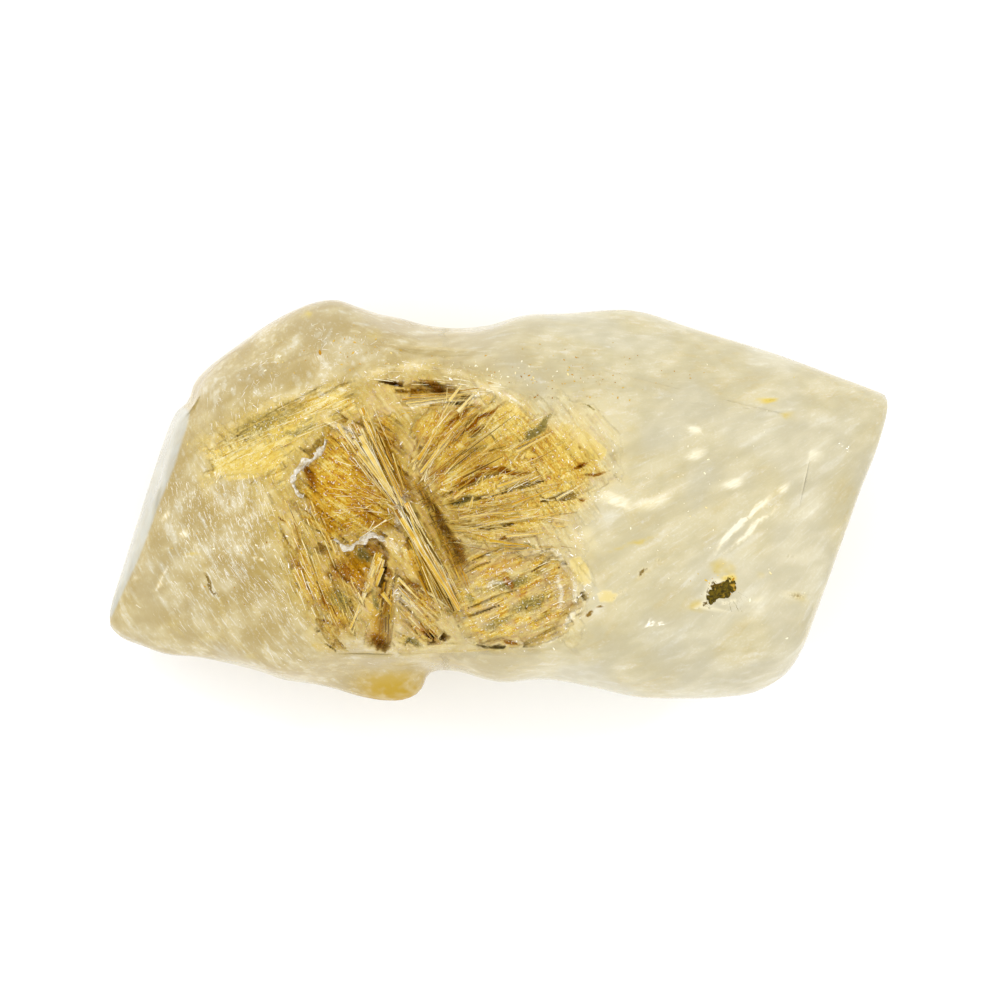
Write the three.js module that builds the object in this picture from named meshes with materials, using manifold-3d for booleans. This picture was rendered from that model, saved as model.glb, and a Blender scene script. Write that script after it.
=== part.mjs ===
// A fenster (window) quartz: one tumbled crystal of cloudy champagne quartz, lying on its broad side.
// Its slanting end faces are parallel, its edges are worn round, and its upper side opens into a skeletal
// window: panes sunk to different depths, crossed by blades that grew in bundles and in a fan.
// Millimetres, +Z up, +X along the crystal, origin under its middle on the face that it rests on.

import * as THREE from 'three'
import { mergeVertices } from 'three/addons/utils/BufferGeometryUtils.js'
import Module from 'manifold-3d'

const wasm = await Module()
wasm.setup()

// Driving dimensions
const heartHeight = 9 // from the rest face up to the crystal's heart, which the shapes below are given from
const castHeart = new THREE.Vector3(-4, -0.5, -0.7) // the surface is cast from here, near the window
const castHeight = 9.5
const girdleLean = 0.17 // the widest section rises towards +X, because both end faces lean the same way
const rimBulge = 16 // radius that the rim bulges with, seen from the side
const tumbleWave = 0.07 // height of the worn surface's slow waves
const outlineCount = 122 // points around the widest section
const ringLifts = [-90, -66, -55, -45, -35, -25, -16, -8, 0, 8, 16, 25, 34, 43, 52, 61, 71, 90]

// The outline seen from above, anticlockwise from the upper corner of the right end face
const upperOutline = [
  [24.35, 6.1], [24.1, 6.55], [23.2, 6.95], [20.7, 7.9], [17.0, 9.2], [12.0, 10.75], [9.6, 11.55], [8.3, 11.75],
  [4.5, 11.5], [2.0, 11.4], [-0.3, 10.8], [-1.9, 10.65], [-4.0, 10.8], [-5.6, 11.25], [-7.0, 11.55],
  [-8.2, 12.0], [-9.7, 12.5], [-11.8, 12.1], [-13.6, 11.2], [-15.5, 9.9], [-17.7, 8.3], [-18.6, 7.3],
  [-19.0, 6.1], [-19.7, 5.6], [-20.7, 3.6], [-23.0, -3.4], [-24.35, -7.5], [-24.25, -8.15], [-21.8, -9.2],
  [-20.2, -9.65], [-18.3, -9.8], [-14.6, -10.65], [-13.0, -11.2], [-11.2, -11.4],
]
const lowerOutline = [
  [-2.1, -10.6], [-0.5, -11.05], [0.7, -11.25], [3.3, -11.05], [6.3, -11.55], [8.9, -12.15],
  [11.3, -12.3], [14.5, -12.25], [16.1, -12.0], [17.3, -11.35], [18.3, -10.4], [19.05, -8.9],
  [21.4, -2.3], [23.4, 3.2],
]
// Between the two runs, a knob stands out around the widest section and is gone above and below it
const knob = [
  [-9.6, -11.75], [-8.3, -12.2], [-6.6, -12.5], [-5.3, -12.4], [-4.4, -11.8], [-4.0, -10.85], [-3.5, -10.55],
]
const besideKnob = [[-8.4, -11.1], [-5.6, -10.8]]
const knobHeight = [1.2, 4.5] // from the widest section, where the knob starts to go and where it is gone

// Crystal faces. heading turns anticlockwise from +X, lift is the normal's angle above level, reach is the
// face's distance from the heart, and worn is how far its edges are rounded.
const crystalFaces = {
  windowFace: { heading: -15, lift: 84.5, reach: 9.55, worn: 1.6 },
  upperRightShoulder: { heading: 76, lift: 42, reach: 11.9, worn: 1.6 },
  upperLeftShoulder: { heading: 122, lift: 48, reach: 12.9, worn: 1.5 },
  leftShoulder: { heading: 172, lift: 48, reach: 15.3, worn: 1.4 },
  lowerLeftSlope: { heading: 215, lift: 46, reach: 14.8, worn: 1.5 },
  lowerShoulder: { heading: -86, lift: 36, reach: 12.4, worn: 1.8 },
  underRight: { heading: -15, lift: -45, reach: 17.2, worn: 1.4 },
  underUpper: { heading: 88, lift: -36, reach: 10.5, worn: 1.4 },
  underLeft: { heading: 165, lift: -40, reach: 19.1, worn: 1.4 },
  underLower: { heading: -90, lift: -38, reach: 10.6, worn: 1.4 },
  leftEnd: { heading: 161.8, lift: 12, reach: 19.65, worn: 0.4 },
  rightEnd: { heading: -19.6, lift: -12, reach: 19.85, worn: 0.5 },
}

// The window's panes. floor is the depth of the pane's floor under the window face at its first corner, and
// dip is how much deeper the floor gets for each millimetre towards +X and towards +Y.
const panes = {
  striatedBand: {
    floor: 0.3, dip: [0.02, 0],
    outline: [
      [-17.9, 1.6], [-18.3, 3.3], [-17.2, 4.3], [-12.4, 6.6], [-9.3, 7.2], [-7.4, 6.6], [-8.6, 5.2],
      [-10.7, 5.0], [-12.3, 2.4], [-12.7, 0.6], [-14.8, 1.0],
    ],
  },
  goldFloor: {
    floor: 0.9, dip: [0.05, -0.06],
    outline: [
      [-10.3, 4.8], [-8.5, 5.3], [-6.0, 5.4], [-4.4, 1.1], [-4.2, -0.8], [-6.2, -2.4], [-8.7, -2.6],
      [-10.7, -3.3], [-11.8, -1.4], [-12.4, 0.5], [-12.0, 2.2], [-11.3, 3.3],
    ],
  },
  goldPit: {
    floor: 1.9, dip: [0.1, 0.06],
    outline: [[-9.9, -2.9], [-7.0, -2.5], [-6.4, -3.9], [-7.9, -6.3], [-9.0, -5.8], [-10.3, -4.6]],
  },
  pillarPit: {
    floor: 2.0, dip: [0, -0.06],
    outline: [[-7.1, -4.6], [-5.9, -4.0], [-6.0, -6.4], [-6.4, -9.2], [-7.8, -8.9], [-7.2, -6.4]],
  },
  greyFloor: {
    floor: 1.2, dip: [0, 0.03],
    outline: [[-6.2, -4.1], [-4.2, -4.3], [-2.5, -6.8], [-3.4, -9.1], [-5.8, -9.5], [-6.3, -6.4]],
  },
  lowerLeftFloor: {
    floor: 0.5, dip: [0.09, -0.02],
    outline: [
      [-13.0, -0.4], [-11.9, -1.4], [-10.2, -4.4], [-7.8, -6.2], [-8.2, -9.0], [-10.2, -8.8], [-12.6, -5.0],
    ],
  },
  bundleFloor: {
    floor: 0.65, dip: [0.03, 0],
    outline: [[-9.3, 3.8], [-7.6, 4.9], [-1.4, -5.8], [-2.0, -7.6], [-3.6, -7.0], [-6.6, -1.4]],
  },
  hairyCrack: {
    floor: 2.2, dip: [0, 0.04],
    outline: [[-4.6, 1.4], [-3.9, 1.6], [-1.3, -3.9], [-1.2, -5.9], [-2.1, -6.2], [-3.4, -2.4]],
  },
  fanFloor: {
    floor: 1.2, dip: [-0.09, 0.0],
    outline: [
      [-4.3, 0.9], [-5.2, 4.2], [-4.3, 6.2], [-1.2, 6.6], [1.3, 6.1], [4.2, 5.2], [7.1, 3.6], [7.1, 1.7],
      [4.8, -0.8], [2.0, -2.7], [-1.2, -3.3], [-3.0, -0.2],
    ],
  },
  lobeFloor: {
    floor: 1.5, dip: [0.02, 0],
    outline: [
      [-2.4, -4.2], [-1.2, -3.0], [1.3, -2.6], [3.7, -2.7], [5.3, -4.7], [5.5, -6.7], [4.3, -8.8],
      [1.3, -9.4], [-0.8, -9.1], [-2.9, -6.8],
    ],
  },
  browCavity: {
    floor: 1.9, dip: [0.12, 0],
    outline: [[-7.1, 7.0], [-5.2, 7.5], [-2.7, 7.4], [-0.6, 6.5], [-1.8, 6.0], [-4.9, 6.1], [-6.8, 6.3]],
  },
  lowTriangle: { floor: 1.9, dip: [0, 0], outline: [[-4.6, -7.9], [-3.7, -9.4], [-3.1, -8.3]] },
  lowSlit: { floor: 1.7, dip: [0, 0], outline: [[-0.6, -9.2], [0.6, -9.8], [3.0, -9.3], [2.0, -8.9]] },
  lowHole: { floor: 1.6, dip: [0, 0], outline: [[-10.6, -7.9], [-10.0, -9.1], [-9.3, -9.0], [-9.6, -8.1]] },
}

// Clear quartz that swells up again from a pane's floor. top is the depth of its top under the window face.
const swells = {
  ripplingLobe: { at: [1.6, -5.9], half: [3.7, 2.9], turn: 8, top: 0.25, deep: 1.8 },
  goldCushion: { at: [-9.4, 1.2], half: [3.0, 2.4], turn: -40, top: 0.7, deep: 0.9 },
  fanCushion: { at: [-2.2, 4.3], half: [2.9, 2.0], turn: 25, top: 0.65, deep: 1.0 },
}

// Bundles of parallel blades. from and to are the ends of the middle blade, and top is the depth of the
// blades' tops under the window face.
const bundles = {
  mainBundle: { from: [-8.0, 3.9], to: [-2.3, -6.7], count: 10, spread: 0.95, width: 0.42, top: 0.2 },
  goldenBundle: { from: [-6.4, 3.6], to: [-3.0, -3.0], count: 5, spread: 0.65, width: 0.38, top: 0.4 },
  crossBundle: { from: [-10.2, 2.6], to: [-4.9, -1.2], count: 7, spread: 1.5, width: 0.3, top: 0.45 },
  crackHairs: { from: [-3.4, -1.2], to: [-1.3, -5.6], count: 3, spread: 0.45, width: 0.3, top: 0.8 },
  pillar: { from: [-6.9, -3.3], to: [-8.5, -9.0], count: 3, spread: 0.5, width: 0.55, top: 0.25 },
  lowerLeftFibres: { from: [-12.0, -0.8], to: [-9.0, -7.6], count: 8, spread: 1.35, width: 0.34, top: 0.25 },
  lobeStriae: { from: [-0.8, -6.9], to: [4.2, -4.9], count: 8, spread: 1.9, width: 0.3, top: 0.12 },
  browLath: { from: [-5.4, 5.7], to: [-1.2, 6.1], count: 3, spread: 0.47, width: 0.38, top: 0.33 },
  outerStriae: { from: [-17.3, 2.9], to: [-13.0, 5.2], count: 6, spread: 1.2, width: 0.36, top: 0.06 },
  innerStriae: { from: [-13.8, 3.9], to: [-9.2, 6.2], count: 6, spread: 1.3, width: 0.36, top: 0.06 },
}

// The fan's blades open from its pivot towards the right end, between two headings
const fan = {
  pivot: [-4.9, -0.6], headings: [64, -16], count: 27, near: 2.0, far: [8.4, 12.2], width: 0.7, top: 0.13,
}

// Torn films that stand up beside the panes, each a line of short upright plates
const filmThickness = 0.28
const films = {
  leftFilm: { line: [[-10.4, 4.6], [-11.2, 3.1], [-12.1, 1.9], [-12.3, 0.6], [-11.7, 0.2]], top: 0.1 },
  pitFilm: { line: [[-9.8, -2.6], [-9.0, -3.1], [-8.0, -2.5], [-6.9, -2.3]], top: 0.15 },
}

const toRadians = THREE.MathUtils.degToRad
const smooth = THREE.MathUtils.smoothstep
const zAxis = new THREE.Vector3(0, 0, 1)

function faceNormal({ heading, lift }) {
  const level = Math.cos(toRadians(lift))
  const [east, north] = [Math.cos(toRadians(heading)), Math.sin(toRadians(heading))]
  return new THREE.Vector3(level * east, level * north, Math.sin(toRadians(lift)))
}

const facePlanes = Object.values(crystalFaces).map((face) => ({ ...face, normal: faceNormal(face) }))

// A repeatable number from 0 to 1
function vary(seed) {
  return THREE.MathUtils.euclideanModulo(Math.sin(seed * 12.9898 + 4.1) * 43758.5453, 1)
}

function closedCurve(points, pieces) {
  const corners = points.map(([x, y]) => new THREE.Vector3(x, y, 0))
  return new THREE.CatmullRomCurve3(corners, true, 'centripetal').getSpacedPoints(pieces).slice(0, pieces)
}

// Signed distance from a closed line seen from above, negative inside
function distanceTo(line, x, y) {
  let nearest = Infinity
  let inside = false
  for (let i = 0, j = line.length - 1; i < line.length; j = i++) {
    const [a, b] = [line[i], line[j]]
    const [edgeX, edgeY] = [b.x - a.x, b.y - a.y]
    const along = ((x - a.x) * edgeX + (y - a.y) * edgeY) / (edgeX * edgeX + edgeY * edgeY)
    const t = THREE.MathUtils.clamp(along, 0, 1)
    nearest = Math.min(nearest, Math.hypot(x - a.x - t * edgeX, y - a.y - t * edgeY))
    if (a.y > y !== b.y > y && x < a.x + ((y - a.y) / edgeY) * edgeX) inside = !inside
  }
  return inside ? -nearest : nearest
}

const rimPoints = [...upperOutline, ...knob, ...lowerOutline]
const outline = closedCurve(rimPoints, 220)
const knoblessOutline = closedCurve([...upperOutline, ...besideKnob, ...lowerOutline], 110)

function tumble({ x, y, z }) {
  const wide = Math.sin(0.55 * x + 0.8 * y + 0.4 * z) + 0.7 * Math.sin(-0.9 * x + 0.5 * y + 0.7 * z + 1.3)
  return tumbleWave * (wide + 0.5 * Math.sin(0.3 * x - 1.5 * y + 0.9 * z + 4.1))
}

// Zero on the worn crystal's surface and negative inside. p is measured from the heart.
function stoneField(p) {
  const aboveGirdle = p.z - girdleLean * p.x
  const away = smooth(Math.abs(aboveGirdle), ...knobHeight)
  const onRim = away < 1 ? distanceTo(outline, p.x, p.y) : 0
  const besideRim = away > 0 ? distanceTo(knoblessOutline, p.x, p.y) : 0
  let field = THREE.MathUtils.lerp(onRim, besideRim, away) + aboveGirdle ** 2 / (2 * rimBulge)
  for (const { normal, reach, worn } of facePlanes) {
    const wall = normal.dot(p) - reach
    const near = Math.max(worn - Math.abs(field - wall), 0) / worn
    field = Math.max(field, wall) + (near * near * worn) / 4
  }
  return field + tumble(p) * smooth(Math.abs(aboveGirdle), 0, 4)
}

// The share of a way at which the surface is met
function meetSurface(start, way, most = 2) {
  let [near, far] = [0, most]
  const point = new THREE.Vector3()
  for (let halving = 0; halving < 22; halving++) {
    const middle = (near + far) / 2
    if (stoneField(point.copy(start).addScaledVector(way, middle)) < 0) near = middle
    else far = middle
  }
  return near
}

// A ring of points on the worn crystal, each above or below a point of the outline
function ringPoints(lift) {
  const level = Math.cos(toRadians(lift))
  const count = Math.max(1, Math.round(outlineCount * level))
  return closedCurve(rimPoints, count).map((rim) => {
    const way = rim.clone().sub(castHeart)
    way.z = girdleLean * rim.x - castHeart.z
    way.multiplyScalar(level)
    way.z += castHeight * Math.sin(toRadians(lift))
    return castHeart.clone().addScaledVector(way, meetSurface(castHeart, way))
  })
}

// Triangles between two rings that may have different counts of points
function stitch(triangles, below, above) {
  let [i, j] = [0, 0]
  while (i < below.length || j < above.length) {
    const a = below[i % below.length]
    const b = above[j % above.length]
    const lowerFirst = (i + 1) / below.length <= (j + 1) / above.length
    if (j === above.length || (i < below.length && lowerFirst)) {
      if (below.length > 1) triangles.push(a, below[(i + 1) % below.length], b)
      i += 1
    } else {
      if (above.length > 1) triangles.push(a, above[(j + 1) % above.length], b)
      j += 1
    }
  }
}

function toSolid(geometry) {
  const bare = geometry.clone()
  bare.deleteAttribute('normal')
  bare.deleteAttribute('uv')
  const merged = mergeVertices(bare, 1e-4)
  return new wasm.Manifold(new wasm.Mesh({
    numProp: 3,
    vertProperties: new Float32Array(merged.attributes.position.array),
    triVerts: new Uint32Array(merged.index.array),
  }))
}

function toGeometry(solid) {
  const mesh = solid.getMesh()
  const geometry = new THREE.BufferGeometry()
  geometry.setAttribute('position', new THREE.BufferAttribute(new Float32Array(mesh.vertProperties), 3))
  geometry.setIndex(new THREE.BufferAttribute(new Uint32Array(mesh.triVerts), 1))
  geometry.computeVertexNormals()
  return geometry
}

// The worn crystal before its window opens
function wornCrystal() {
  const rings = ringLifts.map(ringPoints)
  const triangles = []
  for (let i = 1; i < rings.length; i++) stitch(triangles, rings[i - 1], rings[i])
  return toSolid(new THREE.BufferGeometry().setFromPoints(triangles).translate(0, 0, heartHeight))
}

// Height of the window face above the rest face, at a point seen from above
function faceHeight(x, y) {
  return heartHeight + meetSurface(new THREE.Vector3(x, y, 0), zAxis, 16)
}

// Cuts a pane, with a floor that runs at its own depth under the face and walls that flare a little upwards
function paneCutter({ outline: corners, floor, dip }) {
  const share = 1 / corners.length
  const [middleX, middleY] = corners.reduce(([x, y], [dx, dy]) => [x + dx * share, y + dy * share], [0, 0])
  const shape = new THREE.Shape(corners.map(([x, y]) => new THREE.Vector2(x, y)))
  const geometry = new THREE.ExtrudeGeometry(shape, { depth: 1, bevelEnabled: false })
  const place = geometry.attributes.position
  for (let i = 0; i < place.count; i++) {
    const upper = place.getZ(i) > 0.5
    const [x, y] = [place.getX(i), place.getY(i)]
    const depth = floor + dip[0] * (x - corners[0][0]) + dip[1] * (y - corners[0][1])
    const flare = upper ? 0.12 : 0
    const height = faceHeight(x, y) - depth + (upper ? 6 : 0)
    place.setXYZ(i, x + (x - middleX) * flare, y + (y - middleY) * flare, height)
  }
  return toSolid(geometry)
}

function swell({ at, half, turn, top, deep }) {
  const geometry = new THREE.SphereGeometry(1, 16, 8)
  geometry.rotateX(Math.PI / 2)
  geometry.scale(half[0], half[1], deep)
  geometry.rotateZ(toRadians(turn))
  return toSolid(geometry.translate(at[0], at[1], faceHeight(...at) - top - deep))
}

// A blade is a lath that tapers to its tip, with a side up. top is its depth under the face.
function blade(start, end, width, top) {
  const [from, to] = [start, end].map(([x, y]) => new THREE.Vector3(x, y, faceHeight(x, y) - top - width * 0.6))
  const length = from.distanceTo(to)
  const geometry = new THREE.CylinderGeometry(width * 0.36, width * 0.64, length, 4)
  geometry.rotateY(Math.PI / 4)
  geometry.scale(1, 1, 1.5)
  geometry.translate(0, length / 2, 0)
  const along = to.clone().sub(from).normalize()
  const side = along.clone().cross(zAxis).normalize()
  const basis = new THREE.Matrix4().makeBasis(side, along, side.clone().cross(along))
  return toSolid(geometry.applyMatrix4(basis.setPosition(from)))
}

function bundleBlades({ from, to, count, spread, width, top }, seed) {
  const way = new THREE.Vector2(to[0] - from[0], to[1] - from[1])
  const length = way.length()
  way.normalize()
  return Array.from({ length: count }, (_, i) => {
    const aside = (i / Math.max(count - 1, 1) - 0.5) * 2 * spread
    const share = 0.6 + 0.4 * vary(seed + i)
    const begin = (1 - share) * vary(seed + i + 50)
    const lean = (vary(seed + i + 90) - 0.5) * 0.45
    const at = (along, off) => [from[0] + way.x * along - way.y * off, from[1] + way.y * along + way.x * off]
    const sunk = top + 0.35 * vary(seed + i + 130)
    return blade(at(begin * length, aside - lean), at((begin + share) * length, aside + lean), width, sunk)
  })
}

function fanBlades({ pivot, headings, count, near, far, width, top }) {
  return Array.from({ length: count }, (_, i) => {
    const round = (i + 0.5 * vary(i + 170)) / count
    const heading = toRadians(THREE.MathUtils.lerp(...headings, round))
    const begin = near + 3.8 * vary(i + 200)
    const reach = THREE.MathUtils.lerp(...far, round) * (0.66 + 0.34 * vary(i + 250))
    const at = (radius) => [pivot[0] + radius * Math.cos(heading), pivot[1] + radius * Math.sin(heading)]
    return blade(at(begin), at(reach), width * (0.7 + 0.5 * vary(i + 300)), top + 0.4 * vary(i + 350))
  })
}

function filmPlates({ line, top }) {
  return line.slice(1).map((end, i) => {
    const [a, b] = [line[i], end].map(([x, y]) => new THREE.Vector3(x, y, faceHeight(x, y) - top))
    const geometry = new THREE.BoxGeometry(a.distanceTo(b) + filmThickness, filmThickness, 1.6)
    geometry.rotateZ(Math.atan2(b.y - a.y, b.x - a.x))
    const middle = a.lerp(b, 0.5)
    return toSolid(geometry.translate(middle.x, middle.y, middle.z - 0.8))
  })
}

function buildCrystal() {
  const opened = Object.values(panes).reduce((solid, pane) => solid.subtract(paneCutter(pane)), wornCrystal())
  const grown = [
    ...Object.values(swells).map(swell),
    ...Object.values(bundles).flatMap((bundle, i) => bundleBlades(bundle, i * 10)),
    ...fanBlades(fan),
    ...Object.values(films).flatMap(filmPlates),
  ]
  const restCutter = toSolid(new THREE.BoxGeometry(80, 60, 10).translate(0, 0, -5))
  const solid = grown.reduce((sum, piece) => sum.add(piece), opened).subtract(restCutter)
  // Only the outer skin stays, so hollows that blades close over are solid quartz
  return solid.decompose().reduce((most, skin) => (skin.volume() > most.volume() ? skin : most))
}

// The origin is under the middle of the crystal's box
function centred(geometry) {
  geometry.computeBoundingBox()
  const middle = geometry.boundingBox.getCenter(new THREE.Vector3())
  return geometry.translate(-middle.x, -middle.y, -geometry.boundingBox.min.z)
}

const cloudyQuartz = new THREE.MeshStandardMaterial({
  name: 'cloudy_quartz', color: new THREE.Color(0.85, 0.8, 0.65), roughness: 0.16, metalness: 0,
})
const crystal = new THREE.Mesh(centred(toGeometry(buildCrystal())), cloudyQuartz)
crystal.name = 'crystal'

const group = new THREE.Group()
group.name = 'fenster_quartz'
group.add(crystal)
export default group
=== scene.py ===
import math
import bmesh
import bpy
import numpy as np
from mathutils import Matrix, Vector
from mathutils.geometry import delaunay_2d_cdt


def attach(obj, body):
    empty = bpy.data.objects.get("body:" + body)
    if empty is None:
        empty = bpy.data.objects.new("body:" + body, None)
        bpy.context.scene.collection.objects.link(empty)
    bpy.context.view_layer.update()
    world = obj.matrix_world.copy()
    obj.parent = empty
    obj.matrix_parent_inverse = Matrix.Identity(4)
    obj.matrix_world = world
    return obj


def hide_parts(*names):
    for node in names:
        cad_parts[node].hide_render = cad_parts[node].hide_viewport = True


# Fenster quartz: a tumbled, cloudy champagne crystal whose upper side opens into a window of gold-stained blades.
# Lengths are millimetres from the crystal's heart until toRow turns them into the row's metres.

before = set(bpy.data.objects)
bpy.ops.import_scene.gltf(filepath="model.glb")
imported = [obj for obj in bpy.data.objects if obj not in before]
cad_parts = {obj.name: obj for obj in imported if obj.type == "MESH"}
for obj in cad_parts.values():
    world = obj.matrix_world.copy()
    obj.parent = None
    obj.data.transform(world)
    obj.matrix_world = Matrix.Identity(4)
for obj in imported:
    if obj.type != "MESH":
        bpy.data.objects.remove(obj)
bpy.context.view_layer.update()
mm = 0.001

stone = {
    "heartHeight": 9.0,      # from the rest face up to the heart
    "castHeart": (-4.0, -0.5, -0.7),
    "castHeight": 9.5,
    "girdleLean": 0.17,      # the widest section rises towards +X
    "rimBulge": 16.0,
    "tumbleWave": 0.07,
    "tumbleWaves": [  # share, change along X, Y and Z, start
        (1.0, 0.55, 0.8, 0.4, 0.0), (0.7, -0.9, 0.5, 0.7, 1.3), (0.5, 0.3, -1.5, 0.9, 4.1)],
    "insideCad": (0.996, 0.996, 0.98),  # the fine skin stays inside the faceted one
    "nearer": 1.035,         # the face stands this much nearer the eye, so its marks lie closer to the middle
    "columns": 300,          # points around the widest section
    "ringLifts": list(range(-90, 0, 4)) + list(range(0, 31, 3)),
    "steepLift": 15,         # the rings climb this much higher along the two long sides, past their steep walls
    "skinStep": 0.2,         # spacing of the skin's points around the window
    "windowStep": 0.082,     # and in it
    "seed": 11,
}

upperOutline = [
    (24.35, 6.1), (24.1, 6.55), (23.2, 6.95), (20.7, 7.9), (17.0, 9.2), (12.0, 10.75), (9.6, 11.55), (8.3, 11.75),
    (4.5, 11.5), (2.0, 11.4), (-0.3, 10.8), (-1.9, 10.65), (-4.0, 10.8), (-5.6, 11.25), (-7.0, 11.55),
    (-8.2, 12.0), (-9.7, 12.5), (-11.8, 12.1), (-13.6, 11.2), (-15.5, 9.9), (-17.7, 8.3), (-18.6, 7.3),
    (-19.0, 6.1), (-19.7, 5.6), (-20.7, 3.6), (-23.0, -3.4), (-24.35, -7.5), (-24.25, -8.15), (-21.8, -9.2),
    (-20.2, -9.65), (-18.3, -9.8), (-14.6, -10.65), (-13.0, -11.2), (-11.2, -11.4),
]
lowerOutline = [
    (-2.1, -10.6), (-0.5, -11.05), (0.7, -11.25), (3.3, -11.05), (6.3, -11.55), (8.9, -12.15),
    (11.3, -12.3), (14.5, -12.25), (16.1, -12.0), (17.3, -11.35), (18.3, -10.4), (19.05, -8.9),
    (21.4, -2.3), (23.4, 3.2),
]
knob = [(-9.6, -11.75), (-8.3, -12.2), (-6.6, -12.5), (-5.3, -12.4), (-4.4, -11.8), (-4.0, -10.85), (-3.5, -10.55)]
besideKnob = [(-8.4, -11.1), (-5.6, -10.8)]
knobHeight = (1.2, 4.5)

crystalFaces = [  # heading, lift, reach, how far its edges are worn
    (-15, 84.5, 9.55, 1.6), (76, 42, 11.9, 1.6), (122, 48, 12.9, 1.5), (172, 48, 15.3, 1.4),
    (215, 46, 14.8, 1.5), (-86, 36, 12.4, 1.8), (-15, -45, 17.2, 1.4), (88, -36, 10.5, 1.4),
    (165, -40, 19.1, 1.4), (-90, -38, 10.6, 1.4), (161.8, 12, 19.65, 0.4), (-19.6, -12, 19.85, 0.5),
]

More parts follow.
